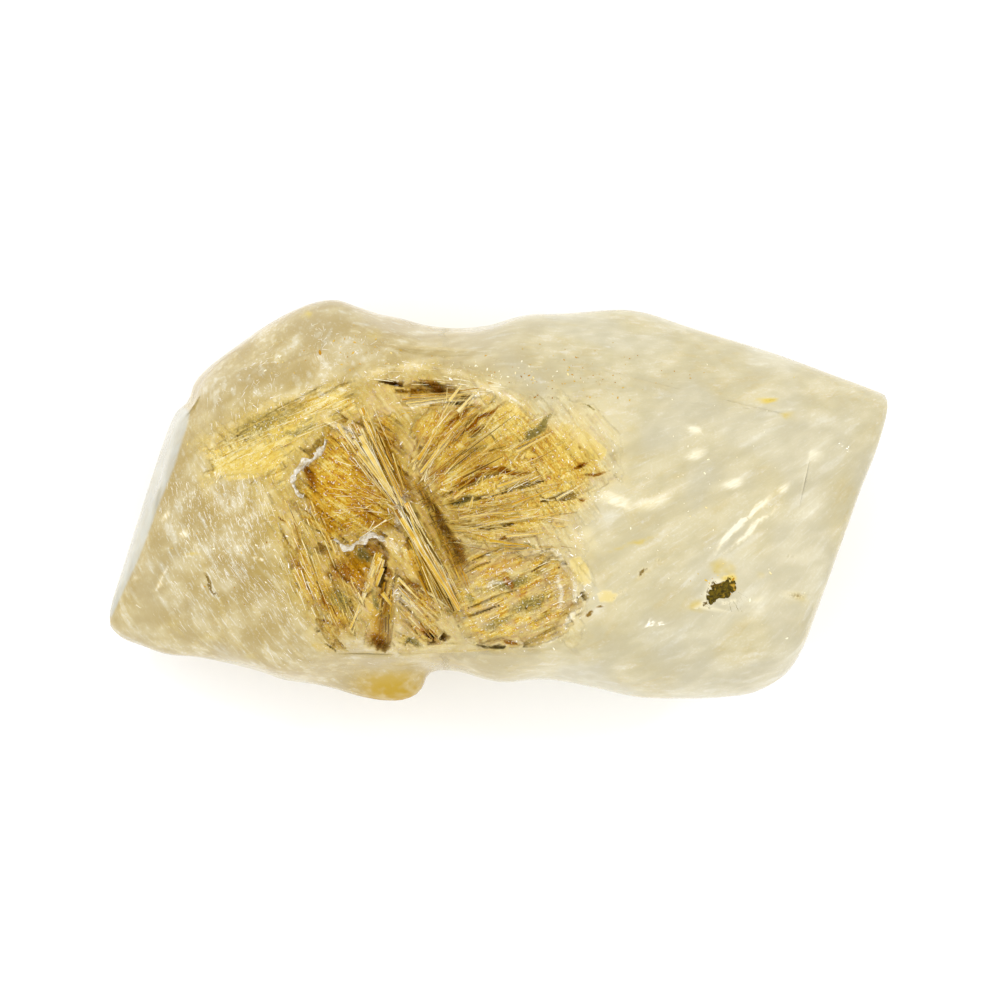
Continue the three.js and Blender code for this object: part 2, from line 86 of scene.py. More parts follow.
# The window's panes: floor is the depth under the face, dip its change along X and Y, grain the heading of the
# fibres, gold, rust and grey say how the pane is stained, cracks how far its slots open, relief how rough it is and
# wall how wide its edge is.
panes = {
    "apron": dict(floor=0.3, dip=(0, 0), grain=-52, gold=0.42, rust=0.06, grey=0.05, wall=1.6, relief=1.3,
                  cracks=0.1, outline=[
        (-18.7, 3.6), (-17.1, 5.2), (-10.5, 7.0), (-8.3, 8.1), (-4.3, 8.7), (0.1, 7.7), (2.0, 6.4), (5.7, 6.4),
        (7.9, 4.2), (7.9, 1.4), (5.7, -1.4), (5.7, -3.9), (6.3, -6.4), (5.1, -8.8), (2.6, -9.4), (0.1, -9.2),
        (-3.7, -9.9), (-7.4, -9.4), (-10.5, -9.2), (-13.0, -6.4), (-14.3, -1.4), (-14.8, 1.7), (-17.7, 1.4)]),
    "striatedBand": dict(floor=0.3, dip=(0.02, 0), grain=28, gold=0.3, rust=0.05, grey=0.0,
                         cracks=0.15, relief=0.4, outline=[
        (-17.9, 1.6), (-18.3, 3.3), (-17.2, 4.3), (-12.4, 6.6), (-9.3, 7.2), (-7.4, 6.6), (-8.6, 5.2),
        (-10.7, 5.0), (-12.3, 2.4), (-12.7, 0.6), (-14.8, 1.0)]),
    "goldFloor": dict(floor=0.7, dip=(0.04, -0.05), grain=-38, gold=0.75, rust=0.2, grey=0.0, cracks=0.1, outline=[
        (-10.3, 4.8), (-8.5, 5.3), (-6.0, 5.4), (-4.4, 1.1), (-4.2, -0.8), (-6.2, -2.4), (-8.7, -2.6),
        (-10.7, -3.3), (-11.8, -1.4), (-12.4, 0.5), (-12.0, 2.2), (-11.3, 3.3)]),
    "goldPit": dict(floor=1.0, dip=(0.08, 0.04), grain=-50, gold=1.0, rust=0.5, grey=0.0, outline=[
        (-9.9, -2.9), (-7.0, -2.5), (-6.4, -3.9), (-7.9, -6.3), (-9.0, -5.8), (-10.3, -4.6)]),
    "pillarPit": dict(floor=1.1, dip=(0, -0.04), grain=74, gold=0.9, rust=0.6, grey=0.0, outline=[
        (-7.1, -4.6), (-5.9, -4.0), (-6.0, -6.4), (-6.4, -9.2), (-7.8, -8.9), (-7.2, -6.4)]),
    "greyFloor": dict(floor=0.75, dip=(0, 0.03), grain=-40, gold=0.6, rust=0.4, grey=0.45, outline=[
        (-6.2, -4.1), (-4.2, -4.3), (-2.5, -6.8), (-3.4, -9.1), (-5.8, -9.5), (-6.3, -6.4)]),
    "lowerLeftFloor": dict(floor=0.5, dip=(0.09, -0.02), grain=-62, gold=0.55, rust=0.35, grey=0.1, outline=[
        (-13.0, -0.4), (-11.9, -1.4), (-10.2, -4.4), (-7.8, -6.2), (-8.2, -9.0), (-10.2, -8.8), (-12.6, -5.0)]),
    "bundleFloor": dict(floor=0.5, dip=(0.03, 0), grain=-61, gold=0.6, rust=0.2, grey=0.1, cracks=0.2, outline=[
        (-9.3, 3.8), (-7.6, 4.9), (-1.4, -5.8), (-2.0, -7.6), (-3.6, -7.0), (-6.6, -1.4)]),
    "hairyCrack": dict(floor=0.7, dip=(0, 0.03), grain=-61, gold=1.0, rust=0.5, grey=0.0, outline=[
        (-4.6, 1.4), (-3.9, 1.6), (-1.3, -3.9), (-1.2, -5.9), (-2.1, -6.2), (-3.4, -2.4)]),
    "fanFloor": dict(floor=0.6, dip=(-0.045, 0), grain=None, gold=0.55, rust=0.15, grey=0.05, cracks=0.8, outline=[
        (-4.3, 0.9), (-5.2, 4.2), (-4.3, 6.2), (-1.2, 6.6), (1.3, 6.1), (4.2, 5.2), (7.1, 3.6), (7.1, 1.7),
        (4.8, -0.8), (2.0, -2.7), (-1.2, -3.3), (-3.0, -0.2)]),
    "lobeFloor": dict(floor=0.7, dip=(0.02, 0), grain=24, gold=0.68, rust=0.38, grey=0.5, cracks=0.7,
                      relief=0.6, outline=[
        (-2.4, -4.2), (-1.2, -3.0), (1.3, -2.6), (3.7, -2.7), (5.3, -4.7), (5.5, -6.7), (4.3, -8.6),
        (1.3, -9.2), (-0.8, -8.9), (-2.9, -6.8)]),
    "browCavity": dict(floor=1.1, dip=(0.08, 0), grain=-8, gold=0.8, rust=0.4, grey=0.1, outline=[
        (-7.1, 7.0), (-5.2, 7.5), (-2.7, 7.4), (-0.6, 6.5), (-1.8, 6.0), (-4.9, 6.1), (-6.8, 6.3)]),
    "lowTriangle": dict(floor=1.9, dip=(0, 0), grain=-30, gold=0.4, rust=0.8, grey=0.0, outline=[
        (-4.6, -7.9), (-3.7, -9.4), (-3.1, -8.3)]),
    "lowSlit": dict(floor=1.7, dip=(0, 0), grain=-10, gold=0.4, rust=0.6, grey=0.2, outline=[
        (-0.6, -9.2), (0.6, -9.8), (3.0, -9.3), (2.0, -8.9)]),
    "lowHole": dict(floor=1.6, dip=(0, 0), grain=-30, gold=0.4, rust=0.7, grey=0.1, outline=[
        (-10.6, -7.9), (-10.0, -9.1), (-9.3, -9.0), (-9.6, -8.1)]),
}
fanPivot = (-8.0, -2.3)
starPoint = (-5.6, -0.6)

# The body's own streaks: straight in the left part, and drawn together towards a far point in the right one
bodyStreaks = dict(leftHeading=-58, pivot=(34.0, 12.0), spread=24.0, seam=-3.0)

# Flat yellow films of iron that lie in the skin
patches = [
    [(4.2, 4.8), (5.3, 4.6), (5.8, 4.3), (6.6, 3.6), (7.15, 3.15), (7.0, 2.65), (6.3, 2.4), (5.3, 2.4), (4.6, 2.8),
     (3.8, 3.0)],
    [(4.8, -3.65), (5.5, -3.5), (6.0, -4.2), (6.2, -5.1), (5.8, -5.35), (5.1, -5.0), (4.9, -4.3)],
    [(6.5, -5.8), (7.15, -5.5), (7.8, -5.9), (7.5, -6.3), (6.7, -6.35)],
    [(-17.6, 2.0), (-16.2, 3.2), (-13.2, 4.6), (-10.6, 5.6), (-11.2, 4.2), (-12.4, 2.9), (-14.6, 1.4), (-16.6, 1.2)],
]

swells = {
    "ripplingLobe": dict(at=(1.6, -5.9), half=(3.7, 2.9), turn=8, top=0.1, deep=0.8),
    "goldCushion": dict(at=(-9.4, 1.2), half=(3.0, 2.4), turn=-40, top=0.7, deep=0.9),
    "fanCushion": dict(at=(-2.2, 4.3), half=(2.9, 2.0), turn=25, top=0.65, deep=1.0),
}

# How the panes are cut: their broken laths, their edges and the relief in them
carving = {
    "broad": (0.62, 3.4), "narrow": (0.24, 1.5), "chips": (0.3, 1.3),  # width and length of the laths
    "wander": 1.1, "gapShare": 0.22, "slotMouth": 0.4, "slotted": 0.22,
    "edgeBend": (0.35, 0.9), "edgeFray": (0.12, 3.1), "strokeBend": (0.35, 1.4),  # reach and fineness
    "raggedBroad": 0.9, "raggedNarrow": 0.4, "soft": 1.1, "apronSoft": 1.6, "apronRough": 0.5,
    "broadRelief": 0.5, "narrowRelief": 0.28, "cloudRelief": 0.3,
    "slotDepth": 0.3, "markDepth": 0.35, "crumpleDepth": 0.2,
    "ripple": 0.1, "capFlakes": 0.14, "capClouds": 0.1, "glow": 0.4,
}

# Parts of the skin with a tint or fibres of their own: middle and half size
skinAreas = {
    "goldenMiddle": dict(at=(-5.6, 0.3), half=(5.8, 5.6)),
    "aroundWindow": dict(at=(-8.0, 0.0), half=(10.0, 7.5)),
    "knob": dict(at=(-6.0, -11.9), half=(2.4, 1.5)),
    "fibrous": dict(at=(-14.0, -2.5), half=(1.15, 1.0), reach=9.0, fade=(1, 5)),
}

# Strokes that stain or cloud the skin, or paint glints on it: middle, half length, half width, heading, strength
strokes = {
    "gold": [
        (-11.66, 11.72, 0.38, 0.25, 0, 0.9), (-13.16, 8.66, 0.5, 0.44, 0, 0.6), (17.16, 6.28, 0.56, 0.2, -27, 1.2),
        (18.31, 5.38, 0.44, 0.25, -21, 0.7), (17.78, 5.78, 2.71, 0.38, -26, 0.35),
        (6.34, 3.53, 1.02, 0.62, -43, 0.25), (5.59, -4.41, 0.81, 0.44, -67, 0.25),
        (7.03, -5.84, 0.71, 0.31, -15, 0.15), (-20.66, -8.03, 0.63, 0.31, -6, 0.45),
        (-17.97, -8.62, 0.95, 0.31, -9, 0.5), (-15.34, -9.91, 0.94, 0.25, 4, 0.5),
        (-7.47, 10.47, 0.83, 0.25, -13, 0.55), (-5.22, 10.03, 0.97, 0.25, -15, 0.5),
        (-2.72, 9.31, 0.96, 0.19, -13, 0.35), (-6.6, -11.3, 2.9, 1.3, -8, 0.3), (14.66, -4.91, 0.56, 0.31, 0, 1),
        (12.5, -6.6, 0.65, 0.45, 41, 0.9), (14.2, -4.2, 0.9, 0.55, -11, 0.75), (16.78, -4.69, 0.41, 0.25, -23, 0.45),
        (16.69, -6.16, 0.37, 0.25, 20, 0.4), (19.16, -6.09, 1.11, 0.44, -16, 0.5), (8.69, -2.62, 1.8, 0.16, 17, 0.75),
        (6.34, 8.84, 2.53, 0.31, -9, 0.25), (9.31, 6.97, 0.6, 0.38, -39, 0.35), (4.62, 11.09, 1.72, 0.25, -4, 0.3),
        (-19, -3.41, 0.53, 0.16, -7, 0.7), (-13.91, 5.19, 3.66, 1, 23, 0.45), (-13.66, 5.31, 2.03, 0.44, 23, 0.4),
        (-1.47, 5.72, 2.95, 0.62, -17, 0.3), (-6.38, 2.97, 1.36, 0.44, -67, 1), (-4.44, -4.59, 2, 0.28, -65, 0.9),
        (-3, -1.72, 2.76, 0.38, -59, 1), (-5.28, 6.78, 1.45, 0.31, -7, 0.9), (-11.34, 1.72, 1.29, 0.38, -76, 0.9),
        (-8.34, -3.91, 1.56, 0.75, -37, 1), (-7.28, -7.34, 1.61, 0.44, -77, 0.9),
        (-10.47, -0.78, 1.96, 0.44, -73, 0.8), (-1, 2.66, 2.52, 1.12, -22, 0.5), (-0.84, -0.78, 2.28, 0.62, -16, 0.3),
        (0.94, -3.91, 1.66, 0.56, 0, 0.45), (-10.53, -9.06, 1.26, 0.31, -7, 0.6),
        (-10.22, -5.16, 1.56, 0.5, -53, 0.6),
    ],
    "rust": [
        (-13.25, 8.59, 0.39, 0.1, -76, 0.9), (17.12, 6.25, 0.3, 0.12, -18, 0.5),
        (-17.81, -5.25, 0.99, 0.09, -66, 1.1), (-13.16, -1.28, 0.35, 0.07, -45, 1.2),
        (6.09, -7.06, 0.27, 0.14, 21, 1.1), (6.84, -6.66, 0.28, 0.08, 27, 0.7), (7.84, -5.88, 0.47, 0.08, 37, 0.7),
        (9.41, -4.5, 0.33, 0.11, 41, 0.9), (10.19, -3.78, 0.29, 0.08, 41, 0.6), (5.53, 2.22, 0.48, 0.12, 23, 1.1),
        (6.41, 1.72, 0.64, 0.09, 11, 1), (5.59, 0.12, 0.19, 0.12, 9, 0.9), (19.03, -6.06, 0.98, 0.14, 17, 0.8),
        (18.66, -3.47, 0.25, 0.11, 0, 0.5), (-2.19, 5.09, 1, 0.15, 39, 0.8), (-0.69, 4.94, 1.71, 0.11, 35, 1.1),
        (-0.97, 4.31, 0.42, 0.16, 42, 1.3), (0.81, 1.84, 1.67, 0.1, -6, 1.1), (-0.56, 2.03, 0.35, 0.14, 10, 1.3),
        (-1.41, 1.16, 1.27, 0.16, 33, 1.1), (0.69, -2.44, 0.6, 0.11, 28, 0.9), (-3, -1.72, 2.76, 0.2, -59, 1),
        (-2.12, -3.03, 1.16, 0.25, -59, 0.9), (-11.31, 1.41, 0.86, 0.22, -71, 1), (-9.12, -4.38, 0.66, 0.5, -45, 0.7),
        (-7.09, -8.66, 0.5, 0.38, -30, 1), (-6.41, -4.5, 0.29, 0.22, -49, 1.6), (-10.41, -6.31, 0.62, 0.16, -60, 0.9),
        # the strokes at (-3.66, 7.03) and (-6.12, 7.25) paint the shadow in the hollow under the brow's ledge
        (-10.25, -7.66, 0.73, 0.12, -25, 0.6), (-3.66, 7.03, 0.84, 0.25, -27, 1), (-6.12, 7.25, 0.72, 0.12, -7, 0.9),
        (-3.88, -8.28, 0.7, 0.25, -32, 1.1), (1.09, -5, 0.56, 0.25, -56, 0.7), (1.19, -8.84, 0.43, 0.12, -17, 1),
        (-7.72, -0.56, 0.69, 0.08, -36, 0.9), (-5.53, -5.34, 0.7, 0.16, 27, 0.7),
        (-3.28, -5.62, 0.87, 0.12, -64, 0.8), (-4.78, -5.16, 1.68, 0.09, -48, 0.7),
    ],
    "olive": [
        # the stroke at (-3.66, 7.09) paints shadow in the hollow under the brow's ledge
        (2.88, 4.38, 1.37, 0.26, 45, 1), (-1.75, -0.06, 0.74, 0.25, 12, 1), (-3.66, 7.09, 0.79, 0.31, -18, 1),
        (-9.47, -6.25, 1.22, 0.56, -48, 0.7), (-4.97, -8.91, 0.59, 0.25, -18, 0.8),
        (-7.16, -6.09, 0.97, 0.25, -75, 0.7), (-2.06, 5.91, 0.68, 0.19, -16, 0.8), (-0.84, 3.12, 1.05, 0.25, 27, 0.5),
        (2.28, -2.81, 0.46, 0.16, -20, 0.7), (-7.97, -3.44, 0.73, 0.44, -40, 0.8), (5.97, 5.81, 0.69, 0.09, -8, 0.8),
        (3.53, 6.28, 1.76, 0.19, 6, 0.35), (1.97, 7.22, 1.88, 0.19, -4, 0.3), (5.09, 8.16, 1.29, 0.25, -14, 0.3),
        (0.09, 8.84, 1.27, 0.19, -11, 0.3), (7.91, 9.03, 0.96, 0.19, -11, 0.3), (10.47, 6.72, 0.4, 0.19, -18, 0.4),
        (12.34, 7.47, 0.4, 0.12, -18, 0.35), (1.2, -5.1, 1.3, 0.4, 15, 0.8), (2.4, -6.4, 1.6, 0.55, 20, 0.75),
        (0.4, -7.6, 1.3, 0.4, 20, 0.6), (3.2, -7.3, 1, 0.25, 25, 0.5), (2.9, -4.4, 0.9, 0.2, 15, 0.45),
        (-1.3, -6.2, 0.5, 0.3, -50, 0.6), (3.6, -5.3, 1, 0.25, 30, 0.4), (-0.6, -5.6, 0.9, 0.35, 10, 0.45),
        (-14.2, 4.9, 3.4, 0.9, 23, 0.55), (-12.2, 4.3, 1.6, 0.2, 23, 0.6),
    ],
    # white wisps in the skin; the short bright strokes in the window, along the brow, at the star and round the lobe,
    # also paint glints
    "milk": [
        (12.47, 4.34, 0.56, 0.25, -27, 0.9), (12.66, 2.81, 0.71, 0.38, 13, 0.9), (14.97, 0.97, 0.67, 0.31, 22, 1),
        (15.56, -1.44, 2.17, 0.15, 45, 2.1), (16.06, -1.91, 1.88, 0.12, 42, 1.3), (18.22, 0.84, 0.58, 0.25, 41, 0.9),
        (19.88, 2.47, 0.94, 0.12, -96, 0.9), (22.84, 2.16, 0.25, 0.16, 0, 0.9), (7.78, 0.06, 1.08, 0.38, -12, 0.9),
        (9.94, -0.12, 1.15, 0.38, 17, 0.8), (7.97, -0.28, 0.88, 0.19, -8, 1), (-21.16, -5.16, 0.95, 0.11, 58, 1.1),
        (-21.16, -5.41, 0.28, 0.19, 27, 0.9), (-22.62, -5.03, 0.25, 0.22, 30, 0.8),
        (-19.53, -2.03, 0.35, 0.19, 45, 0.9), (-20.66, -0.97, 0.35, 0.16, 45, 0.9),
        (-14.47, -3.59, 0.32, 0.11, 11, 1.3), (-10.53, 6.53, 0.26, 0.16, -14, 1.1), (-9.22, 6.78, 0.32, 0.16, -11, 1),
        (1.41, 6.25, 0.52, 0.1, -33, 1.1), (-5.59, -0.28, 0.76, 0.31, 55, 0.9), (-5.75, -1.3, 0.6, 0.22, -75, 1.1),
        (-7.09, 7.94, 0.98, 0.25, 17, 0.45), (-4.91, 8.28, 1.25, 0.25, 3, 0.5), (-2.41, 7.97, 1.31, 0.25, -17, 0.45),
        (0.03, 6.84, 1.4, 0.19, -32, 0.5), (-4.16, 5.97, 1.26, 0.09, 9, 1.3), (-1.53, 6.38, 1.39, 0.09, 9, 1.2),
        (4.25, -3.81, 1.11, 0.16, -50, 0.9), (-6.1, -2.9, 0.7, 0.35, -30, 0.8), (4.2, -5.7, 1.1, 0.15, -95, 1.1),
        (-5.5, -0.9, 0.3, 0.6, 5, 1.2), (5.12, -5.69, 1.04, 0.19, -81, 1.1), (4.84, -7.5, 0.9, 0.19, -119, 0.9),
        (3.66, -8.62, 0.83, 0.16, -155, 0.8), (1.91, -8.84, 1.01, 0.1, 173, 0.7), (0.16, -5.19, 1.3, 0.09, 15, 1),
        (0.78, -4.41, 1.19, 0.08, 6, 0.8), (-5.38, -6.09, 1, 0.38, -39, 0.9), (-9.28, 4.38, 0.96, 0.25, -25, 1),
        (-14.47, 10.59, 1.25, 0.31, 37, 0.7), (6.34, -2.03, 2.58, 0.75, 14, 0.35), (8.53, -4.84, 2.96, 1, 18, 0.3),
        (-11.16, 8.84, 1.6, 0.75, -39, 0.4), (-17.41, 0.16, 2, 0.62, -51, 0.3), (10.09, 9.84, 2.58, 0.62, -14, 0.3),
        (20.09, -0.16, 1.77, 0.88, 45, 0.35), (16.97, -6.41, 2.25, 0.88, 34, 0.4),
    ],
    "clot": [
        (14.09, -5.59, 0.87, 0.38, 30, 1.5), (13.22, -6.41, 0.45, 0.19, 34, 1.1), (14.66, -4.91, 0.34, 0.19, 22, 1.2),
        (14.47, -6.53, 0.56, 0.08, -27, 0.9), (14.72, -6.28, 0.52, 0.07, -14, 0.8), (13.97, -5.47, 0.5, 0.38, 7, 1.3),
    ],
}


def smoothStep(value, low, high):
    t = np.clip((value - low) / (high - low), 0, 1)
    return t * t * (3 - 2 * t)


def headingVector(heading, lift=0.0):
    level = math.cos(math.radians(lift))
    return np.array([level * math.cos(math.radians(heading)), level * math.sin(math.radians(heading)),
                     math.sin(math.radians(lift))])


def alongAcross(dx, dy, heading):
    way = headingVector(heading)
    return dx * way[0] + dy * way[1], dy * way[0] - dx * way[1]


def cloudNoise(x, y, seed):  # smooth lattice noise from 0 to 1
    def corner(i, j):
        mixed = np.sin(i * 127.1 + j * 311.7 + seed * 74.7) * 43758.5453
        return mixed - np.floor(mixed)
    i, j = np.floor(x), np.floor(y)
    fx, fy = x - i, y - j
    fx, fy = fx * fx * (3 - 2 * fx), fy * fy * (3 - 2 * fy)
    low = corner(i, j) * (1 - fx) + corner(i + 1, j) * fx
    high = corner(i, j + 1) * (1 - fx) + corner(i + 1, j + 1) * fx
    return low * (1 - fy) + high * fy


def astray(x, y, reach, fineness, seed):  # how far a wandering line strays along X and Y
    return [reach * (cloudNoise(x * fineness, y * fineness, seed + k) - 0.5) for k in (0, 1)]


def closedCurve(points, count):  # centripetal spline through a closed run of points, evenly spaced
    p1 = np.array(points, float)
    p0, p2, p3 = np.roll(p1, 1, 0), np.roll(p1, -1, 0), np.roll(p1, -2, 0)
    gap = [np.maximum(np.linalg.norm(b - a, axis=1), 1e-9)[:, None] ** 0.5 for a, b in ((p0, p1), (p1, p2), (p2, p3))]
    startPull = ((p1 - p0) / gap[0] - (p2 - p0) / (gap[0] + gap[1]) + (p2 - p1) / gap[1]) * gap[1]
    endPull = ((p2 - p1) / gap[1] - (p3 - p1) / (gap[1] + gap[2]) + (p3 - p2) / gap[2]) * gap[1]
    t = np.linspace(0, 1, 24, endpoint=False)[None, :, None]
    p1, p2, startPull, endPull = (a[:, None, :] for a in (p1, p2, startPull, endPull))
    fine = p1 + startPull * t + (-3 * p1 + 3 * p2 - 2 * startPull - endPull) * t**2
    fine = (fine + (2 * p1 - 2 * p2 + startPull + endPull) * t**3).reshape(-1, 2)
    fine = np.vstack([fine, fine[:1]])
    along = np.concatenate([[0], np.cumsum(np.linalg.norm(np.diff(fine, axis=0), axis=1))])
    at = np.linspace(0, along[-1], count, endpoint=False)
    return np.stack([np.interp(at, along, fine[:, k]) for k in (0, 1)], 1)


def distanceTo(line, x, y):  # signed distance from a closed line seen from above, negative inside
    nearest = np.full(x.shape, np.inf)
    inside = np.zeros(x.shape, bool)
    for a, b in zip(line, np.roll(line, -1, 0)):
        ex, ey = b - a
        t = np.clip(((x - a[0]) * ex + (y - a[1]) * ey) / (ex * ex + ey * ey), 0, 1)
        nearest = np.minimum(nearest, np.hypot(x - a[0] - t * ex, y - a[1] - t * ey))
        if ey:
            inside ^= ((a[1] > y) != (b[1] > y)) & (x < a[0] + (y - a[1]) / ey * ex)
    return np.where(inside, -nearest, nearest)


class PlanMap:  # a value kept on a plan grid, for quick reading between its points
    step, low, size = 0.08, (-27.0, -15.0), (676, 376)

    def __init__(self, rule):
        x = self.low[0] + self.step * np.arange(self.size[0])
        y = self.low[1] + self.step * np.arange(self.size[1])
        gridX, gridY = np.meshgrid(x, y, indexing="ij")
        self.values = rule(gridX.ravel(), gridY.ravel()).reshape(self.size)

    def __call__(self, x, y):
        u = np.clip((x - self.low[0]) / self.step, 0, self.size[0] - 1.001)
        v = np.clip((y - self.low[1]) / self.step, 0, self.size[1] - 1.001)
        i, j = u.astype(int), v.astype(int)
        u, v = u - i, v - j
        a = self.values
        return ((a[i, j] * (1 - u) + a[i + 1, j] * u) * (1 - v) + (a[i, j + 1] * (1 - u) + a[i + 1, j + 1] * u) * v)


rimPoints = upperOutline + knob + lowerOutline
rimLine = closedCurve(rimPoints, 260)
besideLine = closedCurve(upperOutline + besideKnob + lowerOutline, 200)
rimMap = PlanMap(lambda x, y: distanceTo(rimLine, x, y))
besideMap = PlanMap(lambda x, y: distanceTo(besideLine, x, y))
faceNormals = [headingVector(heading, lift) for heading, lift, reach, worn in crystalFaces]


def stoneField(p):  # zero on the worn crystal's surface, negative inside
    x, y, z = p.T
    above = z - stone["girdleLean"] * x
    away = smoothStep(np.abs(above), *knobHeight)
    field = rimMap(x, y) * (1 - away) + besideMap(x, y) * away + above**2 / (2 * stone["rimBulge"])
    for normal, (heading, lift, reach, worn) in zip(faceNormals, crystalFaces):
        wall = p @ normal - reach
        near = np.maximum(worn - np.abs(field - wall), 0) / worn
        field = np.maximum(field, wall) + near * near * worn / 4
    wave = sum(share * np.sin(a * x + b * y + c * z + begin) for share, a, b, c, begin in stone["tumbleWaves"])
    field += stone["tumbleWave"] * wave * smoothStep(np.abs(above), 0, 4)
    return np.maximum(field, -stone["heartHeight"] - z)


def meetSurface(start, way, most=2.0):  # how far along each way the surface is met
    near, far = np.zeros(len(way)), np.full(len(way), most)
    for _ in range(22):  # halves the way each time
        middle = (near + far) / 2
        inside = stoneField(start + way * middle[:, None]) < 0
        near, far = np.where(inside, middle, near), np.where(inside, far, middle)
    return near


def faceHeight(x, y):  # height of the unopened face above the heart
    start = np.stack([x, y, np.zeros_like(x)], 1)
    return meetSurface(start, np.tile([0.0, 0.0, 1.0], (len(x), 1)), 16.0)


def paneShares(x, y):  # each pane's floor depth and how far a point is inside it
    bend, fray = astray(x, y, *carving["edgeBend"], 3), astray(x, y, *carving["edgeFray"], 5)
    warpX, warpY = x + bend[0] + fray[0], y + bend[1] + fray[1]
    for name, pane in panes.items():
        line = np.array(pane["outline"])
        inside = -distanceTo(line, warpX, warpY)
        depth = pane["floor"] + pane["dip"][0] * (x - line[0, 0]) + pane["dip"][1] * (y - line[0, 1])
        yield name, pane, depth, inside


def grainPlace(pane, x, y):  # along and across the pane's fibres
    if pane["grain"] is None:
        dx, dy = x - fanPivot[0], y - fanPivot[1]
        return np.hypot(dx, dy), np.arctan2(dy, dx) * 5.5
    return alongAcross(x, y, pane["grain"])


def bodyGrain(x, y):  # along and across the body's streaks
    dx, dy = bodyStreaks["pivot"][0] - x, bodyStreaks["pivot"][1] - y
    right = np.stack([np.hypot(dx, dy), np.arctan2(dy, dx) * bodyStreaks["spread"]], 1)
    left = np.stack(alongAcross(x, y, bodyStreaks["leftHeading"]), 1)
    return np.where((x < bodyStreaks["seam"])[:, None], left, right)


def scatter(i, j, seed):  # a repeatable number from 0 to 1 for each cell
    mixed = np.sin(i * 12.9898 + j * 78.233 + seed * 37.719) * 43758.5453
    return mixed - np.floor(mixed)


def brokenLaths(along, across, wide, long, seed):  # height, tone, gaps and open slots of laths laid side by side
    lane = across / wide + carving["wander"] * (cloudNoise(along / long * 1.3, across / wide * 0.35, seed) - 0.5)
    row = np.floor(lane)
    run = along / long + 7.3 * scatter(row, 0 * row, seed)
    cell = np.floor(run)
    side, end = lane - row, run - cell
    height = scatter(row, cell, seed + 1) + (side - 0.5) * (scatter(row, cell, seed + 2) - 0.5) * 1.4
    gap = 1 - smoothStep(np.minimum(side, 1 - side), 0.0, carving["gapShare"])
    gap = gap * (0.2 + 0.8 * scatter(row, cell, seed + 4))
    gap = np.maximum(gap, 0.25 * (1 - smoothStep(np.minimum(end, 1 - end) * long / wide, 0.0, 0.25)))
    mouth = carving["slotMouth"] * np.sin(np.pi * end) * (scatter(row, cell, seed + 5) > 1 - carving["slotted"])
    slot = 1 - smoothStep(side / np.maximum(mouth, 1e-3), 0.5, 1.0)
    return height - 0.4 * gap, scatter(row, cell, seed + 3), gap, slot


def outFrom(name, x, y):  # how far out along X and Y of one of the skin's areas
    area = skinAreas[name]
    return (x - area["at"][0]) / area["half"][0], (y - area["at"][1]) / area["half"][1]


def openWindow(x, y):  # depth under the face, place along the grain, and the stains at each point
    depth = np.zeros_like(x)
    grain = bodyGrain(x, y)
    stains = {name: np.zeros_like(x)
              for name in ("goldPane", "rustPane", "greyPane", "rough", "tone", "gap", "crack")}
    for index, (name, pane, floor, inside) in enumerate(paneShares(x, y)):
        along, across = grainPlace(pane, x, y)
        broad = brokenLaths(along, across, *carving["broad"], index * 7)
        narrow = brokenLaths(along, across, *carving["narrow"], index * 7 + 3)
        inside = inside + carving["raggedBroad"] * (broad[1] - 0.6) + carving["raggedNarrow"] * (narrow[1] - 0.5)
        relief = carving["broadRelief"] * broad[0] + carving["narrowRelief"] * narrow[0] - 0.5
        relief = relief + carving["cloudRelief"] * cloudNoise(along * 1.6, across * 3.2, index)
        step = smoothStep(inside, -0.15, pane.get("wall", 0.6))
        pressed = step * np.maximum(floor - pane.get("relief", 0.7) * relief * min(1.0, abs(floor.mean())), 0.02)
        deeper = pressed > depth
        depth = np.where(deeper, pressed, depth)
        grain = np.where((deeper & (inside > 0))[:, None], np.stack([along, across], 1), grain)
        soft, roughness = (carving["apronSoft"], carving["apronRough"]) if name == "apron" else (carving["soft"], 1)
        share = smoothStep(inside, -soft, soft)
        stains["rough"] = np.maximum(stains["rough"], share * roughness)
        for key, level in (("goldPane", pane["gold"]), ("rustPane", pane["rust"]), ("greyPane", pane["grey"]),
                           ("tone", 0.6 * broad[1] + 0.4 * narrow[1]),
                           ("gap", np.maximum(broad[2], 0.6 * narrow[2])),
                           ("crack", broad[3] * pane.get("cracks", 0.5))):
            stains[key] = stains[key] * (1 - share) + level * share
    glow = np.exp(-np.hypot(*outFrom("goldenMiddle", x, y)) ** 3)
    stains["goldPane"] = stains["goldPane"] + carving["glow"] * glow * (1 - stains["goldPane"])
    for name, swell in swells.items():
        dx, dy = x - swell["at"][0], y - swell["at"][1]
        along, across = alongAcross(dx, dy, swell["turn"])
        out = np.hypot(along / swell["half"][0], across / swell["half"][1])
        cap = swell["top"] + swell["deep"] * (1 - np.sqrt(np.clip(1 - out**2, 0, 1)))
        along, across = dx * 0.92 + dy * 0.38, dy * 0.92 - dx * 0.38  # the ripples' heading, near 22 degrees
        if name == "ripplingLobe":
            cap = cap + carving["ripple"] * np.sin(across * 5.5 + 5 * cloudNoise(x * 0.8, y * 0.8, 9))
        cap = cap + carving["capFlakes"] * brokenLaths(along, across, *carving["chips"], 31)[0]
        cap = cap + carving["capClouds"] * cloudNoise(x * 2.2, y * 2.2, 12)
        depth = np.where((out < 1) & (cap < depth), cap, depth)
    marked = np.minimum(strokeSum(strokes["rust"], x, y) + 0.7 * strokeSum(strokes["olive"], x, y), 1.2)
    depth = depth + stains["rough"] * (carving["markDepth"] * marked + carving["slotDepth"] * stains["crack"])
    crumple = np.abs(cloudNoise(x * 2.6, y * 2.6, 14) - 0.5) + 0.5 * np.abs(cloudNoise(x * 5.5, y * 5.5, 15) - 0.5)
    return depth + stains["rough"] * carving["crumpleDepth"] * (0.35 - crumple), grain, stains


